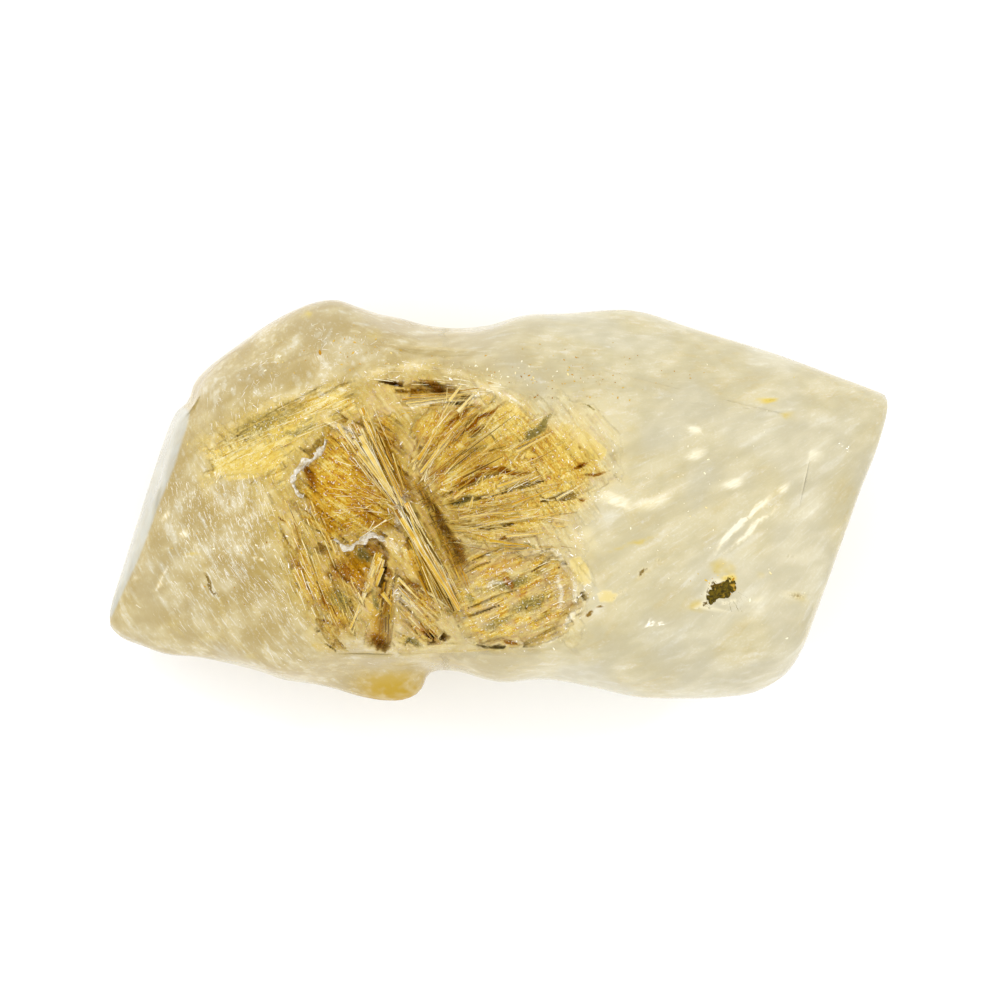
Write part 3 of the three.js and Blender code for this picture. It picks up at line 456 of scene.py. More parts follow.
def strokeSum(marks, x, y):
    total = np.zeros_like(x)
    bendX, bendY = astray(x, y, *carving["strokeBend"], 21)
    bendX, bendY = x + bendX, y + bendY
    for atX, atY, halfLength, halfWidth, heading, strength in marks:
        along, across = alongAcross(bendX - atX, bendY - atY, heading)
        out = np.hypot(along / halfLength, across / halfWidth)
        total = np.maximum(total, strength * np.exp(-(out**2.4) * 0.9))
    return total


def ringPoints(lift):
    count = max(1, round(stone["columns"] * math.cos(math.radians(lift))**0.9))
    rim = closedCurve(rimPoints, count)
    heart = np.array(stone["castHeart"])
    steep = smoothStep(np.abs(rim[:, 1]), 6.5, 9.5) * max(lift, 0) / stone["ringLifts"][-1]
    lifts = np.radians(lift + stone["steepLift"] * steep)
    way = np.column_stack([rim - heart[:2], stone["girdleLean"] * rim[:, 0] - heart[2]]) * np.cos(lifts)[:, None]
    way[:, 2] += stone["castHeight"] * np.sin(lifts)
    return heart + way * meetSurface(heart, way)[:, None]


def stitchRings(lower, upper):  # triangles between two rings of point numbers
    faces = []
    i = j = 0
    while i < len(lower) or j < len(upper):
        a, b = lower[i % len(lower)], upper[j % len(upper)]
        if j == len(upper) or (i < len(lower) and (i + 1) / len(lower) <= (j + 1) / len(upper)):
            if len(lower) > 1:
                faces.append((a, lower[(i + 1) % len(lower)], b))
            i += 1
        else:
            faces.append((a, upper[(j + 1) % len(upper)], b))
            j += 1
    return faces


def hexPoints(step, rng):
    x = np.arange(-26, 26, step)
    y = np.arange(-14, 14, step * 0.866)
    gridX, gridY = np.meshgrid(x, y)
    gridX = gridX + (np.arange(len(y)) % 2)[:, None] * step / 2
    jitter = rng.uniform(-0.12, 0.12, (2,) + gridX.shape) * step
    return (gridX + jitter[0]).ravel(), (gridY + jitter[1]).ravel()


nearer = stone["nearer"]
windowMap = PlanMap(lambda x, y: np.min(
    [-inside for name, pane, depth, inside in paneShares(x * nearer, y * nearer)], axis=0))
heightMap = PlanMap(faceHeight)
print("crystal rules ready")


def crystalSkin():  # points and faces of the whole skin, from the rest face up to the window
    rng = np.random.default_rng(stone["seed"])
    rings = [ringPoints(lift) for lift in stone["ringLifts"]]
    places, faces, numbers = [], [], []
    for ring in rings:
        start = sum(len(r) for r in places)
        places.append(ring)
        numbers.append(list(range(start, start + len(ring))))
    for lower, upper in zip(numbers, numbers[1:]):
        faces += stitchRings(lower, upper)
    edge = rings[-1]
    edgeLine = edge[:, :2]
    inner = []
    # wide spacing round the window and close spacing in it, with a narrow gap between the two
    for step, keep in ((stone["skinStep"], lambda d: d > 0.75), (stone["windowStep"], lambda d: d <= 0.65)):
        x, y = hexPoints(step, rng)
        near = keep(windowMap(x, y))
        x, y = x[near], y[near]
        within = distanceTo(edgeLine, x, y) < -0.3 * max(step, 0.3)
        inner.append(np.stack([x[within], y[within]], 1))
    inner = np.vstack(inner)
    plan = np.vstack([edgeLine, inner])
    border = [(i, (i + 1) % len(edge)) for i in range(len(edge))]
    made = delaunay_2d_cdt([Vector(p) for p in plan.tolist()], border, [], 1, 1e-7, False)
    if len(made[0]) != len(plan):
        raise ValueError("the skin's points were merged")
    height = faceHeight(*inner.T)
    base = sum(len(r) for r in places)
    number = [*numbers[-1], *range(base, base + len(inner))]
    faces += [tuple(number[i] for i in face) for face in made[2]]
    return np.vstack(places + [np.column_stack([inner, height])]), faces, base


def toRow(places):  # from the heart's millimetres to the row's metres
    moved = np.array(places, float)
    moved[:, :2] -= heartShift
    moved[:, 2] += stone["heartHeight"]
    return moved * stone["insideCad"] * mm


def newPiece(name, places, faces, material, smooth=True):
    mesh = bpy.data.meshes.new(name)
    mesh.from_pydata(np.asarray(places).tolist(), [], faces)
    mesh.polygons.foreach_set("use_smooth", [smooth] * len(mesh.polygons))
    mesh.materials.append(material)
    mesh.update()
    piece = bpy.data.objects.new(name, mesh)
    bpy.context.scene.collection.objects.link(piece)
    return piece


def keepAttribute(piece, name, values):
    values = np.asarray(values, np.float32)
    kind = "FLOAT" if values.ndim == 1 else "FLOAT_VECTOR"
    layer = piece.data.attributes.new(name, kind, "POINT")
    layer.data.foreach_set("value" if values.ndim == 1 else "vector", values.ravel())


class Wire:  # a node's socket, with maths written as Python
    def __init__(self, tree, socket):
        self.tree = tree
        self.socket = socket

    def node(self, kind, settings=None, sockets=None, out=0):  # settings first, then the sockets' values and links
        made = self.tree.nodes.new(kind)
        for key, value in (settings or {}).items():
            if key == "stops":
                ramp = made.color_ramp.elements
                while len(ramp) < len(value):
                    ramp.new(0.5)
                for stop, (place, tint) in zip(ramp, value):
                    stop.position = place
                    stop.color = tint
            else:
                setattr(made, key, value)
        for key, value in (sockets or {}).items():
            if isinstance(value, Wire):
                self.tree.links.new(value.socket, made.inputs[key])
            else:
                made.inputs[key].default_value = value
        return Wire(self.tree, made.outputs[out])

    def maths(self, operation, a, b=None):
        inputs = {0: a} if b is None else {0: a, 1: b}
        return self.node("ShaderNodeMath", {"operation": operation}, inputs)

    def __add__(self, other):
        return self.maths("ADD", self, other)

    def __sub__(self, other):
        return self.maths("SUBTRACT", self, other)

    def __mul__(self, other):
        return self.maths("MULTIPLY", self, other)

    __radd__ = __add__
    __rmul__ = __mul__

    def __rsub__(self, other):
        return self.maths("SUBTRACT", other, self)

    def band(self, low, high, toLow=0.0, toHigh=1.0):  # a smooth step from low to high
        return self.node("ShaderNodeMapRange", {"interpolation_type": "SMOOTHSTEP"},
                         {0: self, 1: low, 2: high, 3: toLow, 4: toHigh})

    def scaled(self, size):
        return self.node("ShaderNodeVectorMath", {"operation": "MULTIPLY"}, {0: self, 1: size})

    def along(self, way):
        return self.node("ShaderNodeVectorMath", {"operation": "DOT_PRODUCT"}, {0: self, 1: tuple(way)}, out=1)

    def turned(self, degrees):  # turned about Z
        return self.node("ShaderNodeVectorRotate", {"rotation_type": "Z_AXIS"},
                         {"Vector": self, "Angle": math.radians(degrees)})

    def noise(self, scale=1.0, detail=3.0, roughness=0.5):
        return self.node("ShaderNodeTexNoise", {}, {
            "Vector": self, "Scale": scale, "Detail": detail, "Roughness": roughness})

    def ramp(self, stops):
        return self.node("ShaderNodeValToRGB", {"stops": stops}, {0: self})

    def bump(self, strength, distance):  # this wire is the height
        return self.node("ShaderNodeBump", {}, {"Strength": strength, "Distance": distance, "Height": self})

    def mixColour(self, a, b):  # this wire is the share of b
        return self.node("ShaderNodeMix", {"data_type": "RGBA"}, {0: self, 6: a, 7: b}, out=2)


def colour(red, green, blue):  # a screen colour from 0 to 255 as the shader's linear one
    return tuple(((c / 255 + 0.055) / 1.055) ** 2.4 if c > 10 else c / 255 / 12.92 for c in (red, green, blue)) + (1,)


def newMaterial(name):
    material = bpy.data.materials.new(name)
    material.use_nodes = True
    tree = material.node_tree
    tree.nodes.clear()
    output = tree.nodes.new("ShaderNodeOutputMaterial")
    shader = tree.nodes.new("ShaderNodeBsdfPrincipled")
    tree.links.new(shader.outputs[0], output.inputs["Surface"])
    return material, tree, shader, output


def feed(tree, shader, values):  # sets or links the shader's sockets
    for key, value in values.items():
        if isinstance(value, Wire):
            tree.links.new(value.socket, shader.inputs[key])
        else:
            shader.inputs[key].default_value = value


def startWires(tree):  # object coordinates in millimetres
    place = tree.nodes.new("ShaderNodeTexCoord")
    return Wire(tree, place.outputs["Object"]).scaled((1 / mm, 1 / mm, 1 / mm))


def readAttribute(wire, name, out="Fac"):
    made = wire.node("ShaderNodeAttribute", {"attribute_name": name})
    return Wire(wire.tree, made.socket.node.outputs[out])


def readThree(wire, name):  # three values kept side by side in one attribute
    parts = wire.node("ShaderNodeSeparateXYZ", {}, {0: readAttribute(wire, name, "Vector")})
    return [Wire(wire.tree, socket) for socket in parts.socket.node.outputs]


quartz = {
    "cream": colour(229, 218, 180), "milk": colour(246, 241, 222), "shade": colour(216, 202, 154),
    "haze": colour(236, 233, 220), "honey": colour(198, 168, 86), "paleGold": colour(222, 194, 104),
    "yellow": colour(224, 200, 106), "gold": colour(202, 150, 22), "amber": colour(188, 152, 38),
    "rust": colour(184, 118, 10), "bark": colour(158, 104, 8), "umber": colour(128, 104, 44),
    "olive": colour(146, 130, 66), "grey": colour(211, 202, 160), "crack": colour(140, 110, 34),
    "clot": colour(96, 74, 14), "endFace": colour(218, 217, 206),
    "windowTones": [(0.0, colour(240, 226, 168)), (0.2, colour(229, 203, 108)), (0.4, colour(214, 176, 50)),
                    (0.58, colour(198, 142, 8)), (0.78, colour(172, 114, 2)), (1.0, colour(128, 86, 2))],
    "clearTint": (0.99, 0.98, 0.94, 1), "clearTransmission": 1.0, "clearRoughness": 0.05, "ior": 1.544,
    "absorption": (0.96, 0.88, 0.48, 1), "density": 20.0, "sheen": 0.1, "dim": (0.82, 0.815, 0.775),
    "bump": 0.55, "bumpHeight": 0.12 * mm,
}


def quartzMaterial(endPlane):  # a cloudy finish over a clear one; endPlane is the left end face
    material, tree, shader, output = newMaterial("cloudyQuartz")
    place = startWires(tree)
    goldPane, rustPane, greyPane = readThree(place, "paneStains")
    rough, tone, gap = readThree(place, "laths")
    gold, rust, olive = readThree(place, "ironMarks")
    milk, clot, patch = readThree(place, "otherMarks")
    fibrous, amber, warm = readThree(place, "parts")
    crack, flowing, upper = readThree(place, "slots")
    overEndFace = place.along(endPlane[0]) + endPlane[1]
    endFace = overEndFace.band(-0.4, -0.25)
    grain = readAttribute(place, "grain", "Vector")

    drift = place.noise(0.2, 1)
    clouds = place.turned(-28).scaled((0.5, 1.0, 0.8)).noise(0.6, 2, 0.6)
    wisps = grain.scaled((0.25, 1.0, 1.0)).noise(1.5, 1, 0.6)
    mottles = place.noise(1.3, 1, 0.65)
    specks = place.noise(6.0, 1, 0.65)
    streaks = grain.scaled((0.35, 2.6, 1.6)).noise(2.2, 2, 0.75)

    # the milky share; its fine specks paint small glints among the white threads
    cloudy = clouds.band(0.42, 0.74) * 0.3 + wisps.band(0.5, 0.72) * flowing * 0.45 + specks.band(0.48, 0.72) * 0.22
    cloudy = cloudy + streaks.band(0.54, 0.72) * flowing * (fibrous * 0.5 + 0.35)
    dull = drift.band(0.4, 0.66) * 0.35 + mottles.band(0.45, 0.75) * 0.2
    dull = dull + streaks.band(0.48, 0.32) * (fibrous * 0.4 + 0.15)
    stain = goldPane * 0.42 + rustPane * 0.34 + mottles * 0.5 + streaks.band(0.5, 0.7) * 0.26 - tone * 0.26
    stain = stain + (gap * 0.2 + 0.16) * specks.band(0.4, 0.62) - streaks.band(0.5, 0.36) * 0.2 - 0.14
    window = stain.ramp(quartz["windowTones"])
    goldTint = rough.mixColour(quartz["yellow"], quartz["gold"])
    rustTint = rough.mixColour(quartz["umber"], streaks.band(0.4, 0.6).mixColour(quartz["bark"], quartz["rust"]))

    base = (dull * (1 - endFace)).mixColour(quartz["cream"], quartz["shade"])
    layers = [  # each colour over those before it, with its share
        (quartz["honey"], warm * clouds.band(0.3, 0.7, 1.05, 0.65)),
        (quartz["paleGold"], wisps.band(0.5, 0.66) * drift.band(0.56, 0.44) * (warm * 0.35 + 0.4)),
        (quartz["haze"], drift.band(0.44, 0.6) * (1 - warm) * 0.35),
        (quartz["milk"], cloudy.band(0.0, 1.2)),
        (quartz["amber"], amber * mottles.band(0.3, 0.6, 0.45, 1.0)),
        (quartz["honey"], overEndFace.band(-1.4, -0.45) * streaks.band(0.4, 0.6) * upper * 0.5),
        (quartz["endFace"], endFace * mottles.band(0.3, 0.6, 1.0, 0.8)),
        (window, rough * 0.95),
        (quartz["crack"], (crack * rough * streaks.band(0.35, 0.55, 0.3, 1.0)).band(0.1, 0.8)),
        (quartz["grey"], greyPane * mottles.band(0.35, 0.6)),
        (quartz["yellow"], patch * mottles.band(0.3, 0.6, 0.2, 0.5)),
        (goldTint, (gold * mottles.band(0.25, 0.6, 0.6, 1.0)).band(0.1, 0.9)),
        (quartz["olive"], (olive * specks.band(0.3, 0.62, 0.6, 1.1)).band(0.12, 0.75)),
        (rustTint, (rust * specks.band(0.3, 0.6, 0.6, 1.1)).band(0.12, 0.7)),
        # the milk strokes: white wisps, and painted glints in the window
        (quartz["milk"], (milk * streaks.band(0.35, 0.62, 0.4, 1.1)).band(0.1, 1.1, 0.0, 0.85)),
        (quartz["clot"], (clot * specks.band(0.3, 0.6, 0.4, 1.1)).band(0.5, 1.1)),
        # white specks over the window, the fibrous left part and the milky marks: painted glints among the white fibres
        (quartz["milk"], specks.band(0.64, 0.7) * (rough * 0.8 + fibrous * 0.5 + milk * 0.6)),
    ]
    for tint, share in layers:
        base = share.mixColour(base, tint)

    bumpHeight = grain.scaled((0.6, 3.0, 1.6)).noise(2.2, 1) * (rough + 0.22)
    bump = bumpHeight.bump(quartz["bump"], quartz["bumpHeight"])
    feed(tree, shader, {
        "Base Color": base.scaled(quartz["dim"]), "Roughness": rough * 0.05 + streaks.band(0.5, 0.7) * 0.05 + 0.12,
        "Normal": bump, "IOR": quartz["ior"], "Specular IOR Level": quartz["sheen"],
    })
    clear = tree.nodes.new("ShaderNodeBsdfPrincipled")
    feed(tree, clear, {
        "Base Color": quartz["clearTint"], "Roughness": quartz["clearRoughness"], "Normal": bump,
        "IOR": quartz["ior"], "Transmission Weight": quartz["clearTransmission"],
    })
    marked = amber * 0.7 + gold * 0.4 + rust + olive * 0.8 + milk * 0.8 + clot + patch * 0.5 + rough * 0.75
    marked = marked.band(0.0, 1.0)
    opaque = clouds.band(0.35, 0.7, 0.66, 0.8) + marked * 0.4
    blend = opaque.node("ShaderNodeMixShader", {}, {0: opaque})
    tree.links.new(clear.outputs[0], blend.socket.node.inputs[1])
    tree.links.new(shader.outputs[0], blend.socket.node.inputs[2])
    tree.links.new(blend.socket, output.inputs["Surface"])
    volume = tree.nodes.new("ShaderNodeVolumeAbsorption")
    volume.inputs["Color"].default_value = quartz["absorption"]
    volume.inputs["Density"].default_value = quartz["density"]
    tree.links.new(volume.outputs[0], output.inputs["Volume"])
    return material


places, faces, topStart = crystalSkin()
x, y = places[:, 0], places[:, 1]
depth, grain, stains = openWindow(x * nearer, y * nearer)
onTop = np.arange(len(places)) >= topStart
heartShift = (places[:, :2].min(0) + places[:, :2].max(0)) / 2  # the origin lies under the middle of the stone
upperSide = smoothStep(places[:, 2], 0, 3)
places[onTop, 2] -= depth[onTop]
leftEnd = 10  # the left end face's place in crystalFaces
endNormal = faceNormals[leftEnd] / np.array(stone["insideCad"])
endOffset = faceNormals[leftEnd] @ np.array([*heartShift, -stone["heartHeight"]]) - crystalFaces[leftEnd][2]
quartzSkin = quartzMaterial((endNormal, float(endOffset)))
crystalBody = newPiece("crystalBody", toRow(places), faces, quartzSkin)
reachDown = smoothStep(places[:, 2], -8.5, -3)  # the marks fade towards the rest face
marks = {name: strokeSum(strokes[name], x * nearer, y * nearer) * reachDown for name in strokes}
patchShare = [smoothStep(-distanceTo(np.array(patch), x * nearer, y * nearer), -0.04, 0.06) for patch in patches]
fibrousArea = skinAreas["fibrous"]
fibrousHere = smoothStep(fibrousArea["reach"] - np.hypot(*outFrom("fibrous", x, y)), *fibrousArea["fade"])
fibrousHere = fibrousHere * upperSide * (1 - stains["rough"])
alongX, alongY = outFrom("aroundWindow", x, y)
aroundWindow = np.exp(-(alongX ** 2) - alongY ** 2)
alongX, alongY = outFrom("knob", x, y)
onKnob = np.exp(-(alongX ** 4) - alongY ** 4)
warm = np.clip(0.6 * smoothStep(-x, -6, 6) + 0.75 * aroundWindow, 0, 1.3)  # the left half and the window's rim
stains = {name: values * upperSide for name, values in stains.items()}
for attributeName, values in {
        "grain": (grain[:, 0], grain[:, 1], places[:, 2] + 2 * depth),
        "paneStains": (stains["goldPane"], stains["rustPane"], stains["greyPane"]),
        "laths": (stains["rough"], stains["tone"], stains["gap"]),
        "ironMarks": (marks["gold"], marks["rust"], marks["olive"]),
        "otherMarks": (marks["milk"], marks["clot"], np.max(patchShare, axis=0) * upperSide),
        "parts": (fibrousHere, onKnob, warm),
        "slots": (stains["crack"], smoothStep(np.abs(x - bodyStreaks["seam"]), 0.2, 2.0),
                  smoothStep(places[:, 2], -3, 0))}.items():
    keepAttribute(crystalBody, attributeName, np.column_stack(values))
sharp = np.array([stains["rough"][list(face)].min() > 0.8 for face in faces])
crystalBody.data.polygons.foreach_set("use_smooth", ~sharp)
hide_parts("crystal")
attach(crystalBody, "root")
print("crystal body", len(faces), "faces")

# Blades and fibres: each bundle runs from start to end, spread is half its width at both ends, share how much of
# the run one blade takes, top how deep the blades lie and dark how many of them are stained brown
# Some broad blades also get pale laths along their edges that paint highlights
bladeBundles = {
    "upperBlades": dict(start=(-8.8, 5.3), end=(-5.6, -0.4), count=15, spread=(1.6, 0.3), girth=0.11, top=0.08,
                        tone=0.34, share=(0.45, 1.0), dark=0.0, edged=True),
    "upperHairs": dict(start=(-8.8, 5.3), end=(-5.6, -0.4), count=50, spread=(1.8, 0.5), girth=0.02, top=0.05,
                       tone=0.1, share=(0.1, 0.5), dark=0.05),
    "upperGold": dict(start=(-7.0, 4.4), end=(-5.3, 0.2), count=24, spread=(0.5, 0.3), girth=0.045, top=0.3,
                      tone=0.5, share=(0.3, 0.8), dark=0.1),
    "mainBundle": dict(start=(-5.7, -0.3), end=(-2.3, -7.1), count=13, spread=(0.25, 0.8), girth=0.13, top=0.06,
                       tone=0.4, share=(0.5, 1.0), dark=0.1, edged=True),
    "bundleHairs": dict(start=(-5.6, -0.3), end=(-2.3, -7.1), count=40, spread=(0.35, 0.9), girth=0.022, top=0.05,
                        tone=0.12, share=(0.1, 0.5), dark=0.1),
    "goldenBand": dict(start=(-5.4, -1.6), end=(-3.4, -6.4), count=26, spread=(0.3, 0.4), girth=0.055, top=0.25,
                       tone=0.48, share=(0.3, 0.8), dark=0.1),
    "crackBlades": dict(start=(-4.6, 1.4), end=(-1.3, -5.8), count=30, spread=(0.35, 0.45), girth=0.04, top=0.35,
                        tone=0.45, share=(0.1, 0.5), dark=0.1),
    "crackHairs": dict(start=(-4.5, 1.2), end=(-1.5, -4.6), count=200, spread=(0.3, 0.45), girth=0.02, top=0.1,
                       tone=0.5, share=(0.05, 0.14), dark=0.25, across=True),
    "pillar": dict(start=(-6.8, -3.3), end=(-8.6, -8.9), count=9, spread=(0.25, 0.5), girth=0.2, top=0.02,
                   tone=0.34, share=(0.7, 1.0), dark=0.0, edged=True),
    "pillarShade": dict(start=(-6.5, -4.4), end=(-6.9, -9.0), count=22, spread=(0.35, 0.5), girth=0.05, top=0.6,
                        tone=0.6, share=(0.2, 0.6), dark=0.3),
    "lowerLeftFibres": dict(start=(-12.2, 0.3), end=(-8.7, -8.2), count=120, spread=(1.5, 1.4), girth=0.022, top=0.06,
                            tone=0.26, share=(0.05, 0.2), dark=0.15),
    "leftFringe": dict(start=(-15.2, 1.2), end=(-11.4, -8.4), count=150, spread=(2.0, 2.0), girth=0.018, top=-0.02,
                       tone=0.0, share=(0.03, 0.14), dark=0.03),
    "lobeStriae": dict(start=(-1.0, -7.2), end=(4.6, -4.7), count=90, spread=(2.3, 2.3), girth=0.02, top=0.04,
                       tone=0.1, share=(0.04, 0.14), dark=0.15),
    "browLaths": dict(start=(-6.6, 5.9), end=(0.2, 6.4), count=14, spread=(0.6, 0.5), girth=0.07, top=0.15,
                      tone=0.3, share=(0.2, 0.8), dark=0.0, edged=True),
    "browHatch": dict(start=(-7.6, 8.3), end=(1.2, 7.2), count=120, spread=(0.8, 0.7), girth=0.022, top=-0.01,
                      tone=0.0, share=(0.04, 0.16), dark=0.1),
    "outerStriae": dict(start=(-17.6, 2.7), end=(-8.8, 6.4), count=60, spread=(1.3, 1.2), girth=0.018, top=0.02,
                        tone=0.05, share=(0.05, 0.5), dark=0.08),
    "greyBlades": dict(start=(-6.2, -5.0), end=(-2.8, -8.6), count=26, spread=(0.9, 1.6), girth=0.08, top=0.35,
                       tone=0.22, share=(0.12, 0.5), dark=0.1, edged=True),
}
fans = {
    "rightFan": dict(pivot=fanPivot, headings=(60, -6), count=84, near=4.9, far=(11.5, 15.6), most=4.2, girth=0.07,
                     top=0.08, tone=0.38, dark=0.1, edged=True),
    "fanHairs": dict(pivot=fanPivot, headings=(60, -8), count=420, near=4.7, far=(11.5, 15.6), most=1.6, girth=0.017,
                     top=0.05, tone=0.22, dark=0.15),
    "starFibres": dict(pivot=starPoint, headings=(100, 222), count=80, near=0.4, far=(5.5, 4.5), most=2.2,
                       girth=0.02, top=0.2, tone=0.12, dark=0.05),
}


def bundleSeeds(bundle, rng):
    start, end = np.array(bundle["start"]), np.array(bundle["end"])
    length = np.linalg.norm(end - start)
    way = (end - start) / length
    side = np.array([-way[1], way[0]])
    count = bundle["count"]
    share = bundle["share"][0] + (bundle["share"][1] - bundle["share"][0]) * rng.uniform(0, 1, count) ** 1.5
    begin = rng.uniform(0, 1, count) * (1 - share)
    aside = rng.uniform(-1, 1, count)
    if bundle.get("across"):
        middle = start + way * (begin * length)[:, None] + side * (aside * bundle["spread"][0])[:, None]
        half = (side + way * rng.normal(0, 0.35, count)[:, None]) * (share * length / 2)[:, None]
        return middle - half, middle + half
    lean = rng.normal(0, 0.05, count) * length * share
    ends = []
    for at, bend in ((begin, -lean / 2), (begin + share, lean / 2)):
        spread = bundle["spread"][0] * (1 - at) + bundle["spread"][1] * at
        ends.append(start + way * (at * length)[:, None] + side * (aside * spread + bend)[:, None])
    return ends


def fanSeeds(fan, rng):
    count = fan["count"]
    turn = rng.uniform(0, 1, count)
    heading = np.radians(fan["headings"][0] + (fan["headings"][1] - fan["headings"][0]) * turn)
    far = fan["far"][0] + (fan["far"][1] - fan["far"][0]) * turn
    begin = fan["near"] + rng.uniform(0, 0.8, count) * (far - fan["near"])
    end = np.minimum(begin + 0.4 + fan["most"] * rng.uniform(0, 1, count) ** 1.8, far)
    way = np.stack([np.cos(heading), np.sin(heading)], 1)
    lean = rng.normal(0, 0.12, count)[:, None] * np.stack([-way[:, 1], way[:, 0]], 1)
    pivot = np.array(fan["pivot"])
    return pivot + way * begin[:, None] - lean, pivot + way * end[:, None] + lean


def stainAt(plan):  # how much the marks in the skin darken or whiten the blades that lie there
    x, y = plan.T
    dark = strokeSum(strokes["rust"], x, y) + 0.6 * strokeSum(strokes["olive"], x, y)
    return 0.4 * dark + 0.25 * strokeSum(strokes["gold"], x, y) - 0.3 * strokeSum(strokes["milk"], x, y)


# the pale laths that paint highlights along a broad blade's edges, as shares of the blade's own
edgeHighlight = {"aside": 0.9, "gathered": 0.4, "girth": 0.13, "tone": 0.3}  # shares of the blade's own


def seedCloud(name, groups, seed):  # a point for each blade, with its aim, reach, girth and tone
    rng = np.random.default_rng(seed)
    parts = []
    for group, maker in groups:
        first, last = maker(group, rng)
        count = len(first)
        tone = group["tone"] + rng.normal(0, 0.1, count) + 0.6 * (rng.uniform(0, 1, count) < group["dark"])
        tone = np.clip(tone + stainAt((first + last) / 2), 0.2 * group.get("edged", False), 1)
        sunk = group["top"] + rng.uniform(0, 0.45, count) ** 1.5
        girth = group["girth"] * np.exp(rng.uniform(-0.9, 0.75, count))
        wobble = rng.normal(0, 0.06, (2, count))
        if group.get("edged"):  # a broad blade has a fine pale lath along each edge, a painted highlight
            way = last - first
            side = np.column_stack([-way[:, 1], way[:, 0]])
            side = side * (edgeHighlight["aside"] * girth / np.linalg.norm(way, axis=1))[:, None]
            first = np.vstack([first, first + side, first - side])
            last = np.vstack([last, last + edgeHighlight["gathered"] * side, last - edgeHighlight["gathered"] * side])
            girth = np.concatenate([girth, girth * edgeHighlight["girth"], girth * edgeHighlight["girth"]])
            tone = np.concatenate([tone, tone * edgeHighlight["tone"], tone * edgeHighlight["tone"]])
            sunk, wobble = np.tile(sunk, 3), np.tile(wobble, 3)
        ends = []
        for plan, lift in ((first / nearer, wobble[0]), (last / nearer, wobble[1])):
            inWindow = np.maximum(windowMap(*plan.T) * 0.8, 0)
            height = heightMap(*plan.T) - sunk - girth * 0.5 - inWindow + lift
            ends.append(np.column_stack([plan, height]))
        parts.append((ends[0], ends[1], girth, tone))
    first, last, girth, tone = (np.concatenate([part[k] for part in parts]) for k in range(4))
    first, last = toRow(first), toRow(last)
    reach = np.linalg.norm(last - first, axis=1)
    return pointCloud(name, first, {
        "aim": (last - first) / reach[:, None], "reach": reach, "girth": girth * mm, "tone": tone})


def pointCloud(name, places, values):
    mesh = bpy.data.meshes.new(name)
    mesh.from_pydata(places.tolist(), [], [])
    cloud = bpy.data.objects.new(name, mesh)
    bpy.context.scene.collection.objects.link(cloud)
    for key, value in values.items():
        keepAttribute(cloud, key, value)
    return cloud


def lathTree(material):  # grows one lath on each seed
    tree = bpy.data.node_groups.new("growLaths", "GeometryNodeTree")
    tree.is_modifier = True
    for direction, kind, label, value in (
            ("INPUT", "NodeSocketGeometry", "Seeds", None), ("INPUT", "NodeSocketInt", "Sides", 5),
            ("INPUT", "NodeSocketFloat", "Tip share", 0.55), ("INPUT", "NodeSocketFloat", "Flatness", 0.6),
            ("INPUT", "NodeSocketFloat", "Roll", 0.6), ("INPUT", "NodeSocketInt", "Seed", 4),
            ("OUTPUT", "NodeSocketGeometry", "Laths", None)):
        socket = tree.interface.new_socket(label, in_out=direction, socket_type=kind)
        if value is not None:
            socket.default_value = value
    source = tree.nodes.new("NodeGroupInput")
    given = {label: Wire(tree, source.outputs[label])
             for label in ("Seeds", "Sides", "Tip share", "Flatness", "Roll", "Seed")}
    seeds = given["Seeds"]

    def named(name, kind="FLOAT"):
        return seeds.node("GeometryNodeInputNamedAttribute", {"data_type": kind}, {"Name": name})

    lath = seeds.node("GeometryNodeMeshCone", {"fill_type": "TRIANGLE_FAN"}, {
        "Vertices": given["Sides"], "Radius Top": given["Tip share"], "Radius Bottom": 1.0, "Depth": 1.0})
    aim = seeds.node("FunctionNodeAlignRotationToVector", {"axis": "Z"}, {"Vector": named("aim", "FLOAT_VECTOR")})
    roll = seeds.node("FunctionNodeRandomValue", {"data_type": "FLOAT"},
                      {2: given["Roll"] * -1.0, 3: given["Roll"], "Seed": given["Seed"]}, out=1)
    spin = seeds.node("FunctionNodeAxisAngleToRotation", {}, {"Axis": (0.0, 0.0, 1.0), "Angle": roll})
    turned = seeds.node("FunctionNodeRotateRotation", {"rotation_space": "LOCAL"},
                        {"Rotation": aim, "Rotate By": spin})
    girth = named("girth")
    size = seeds.node("ShaderNodeCombineXYZ", {}, {0: girth, 1: girth * given["Flatness"], 2: named("reach")})
    grown = seeds.node("GeometryNodeInstanceOnPoints", {}, {
        "Points": seeds, "Instance": lath, "Rotation": turned, "Scale": size})
    real = seeds.node("GeometryNodeRealizeInstances", {}, {"Geometry": grown})
    dressed = seeds.node("GeometryNodeSetMaterial", {}, {"Geometry": real, "Material": material})
    sink = tree.nodes.new("NodeGroupOutput")
    tree.links.new(dressed.socket, sink.inputs["Laths"])
    return tree


def grow(name, seeds, tree, settings, material):  # runs the tree on the seeds and keeps a plain mesh
    modifier = seeds.modifiers.new("grow", "NODES")
    modifier.node_group = tree
    for item in tree.interface.items_tree:
        if item.item_type == "SOCKET" and item.in_out == "INPUT" and item.name in settings:
            modifier[item.identifier] = settings[item.name]
    evaluated = seeds.evaluated_get(bpy.context.evaluated_depsgraph_get())
    mesh = bpy.data.meshes.new_from_object(evaluated)
    seeds.modifiers.remove(modifier)
    bpy.data.objects.remove(seeds)
    mesh.name = name
    if not mesh.materials:
        mesh.materials.append(material)
    piece = bpy.data.objects.new(name, mesh)
    bpy.context.scene.collection.objects.link(piece)
    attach(piece, "root")
    print(name, len(mesh.polygons), "faces")
    return piece


lathFinish = {
    "tones": [(0.0, colour(250, 244, 214)), (0.18, colour(238, 220, 150)), (0.42, colour(220, 184, 68)),
              (0.62, colour(196, 144, 12)), (0.82, colour(158, 110, 2)), (1.0, colour(108, 80, 2))],
    "transmission": 0.15, "ior": 1.544, "sheen": 0.2, "bump": 0.4, "bumpHeight": 0.05 * mm,
}


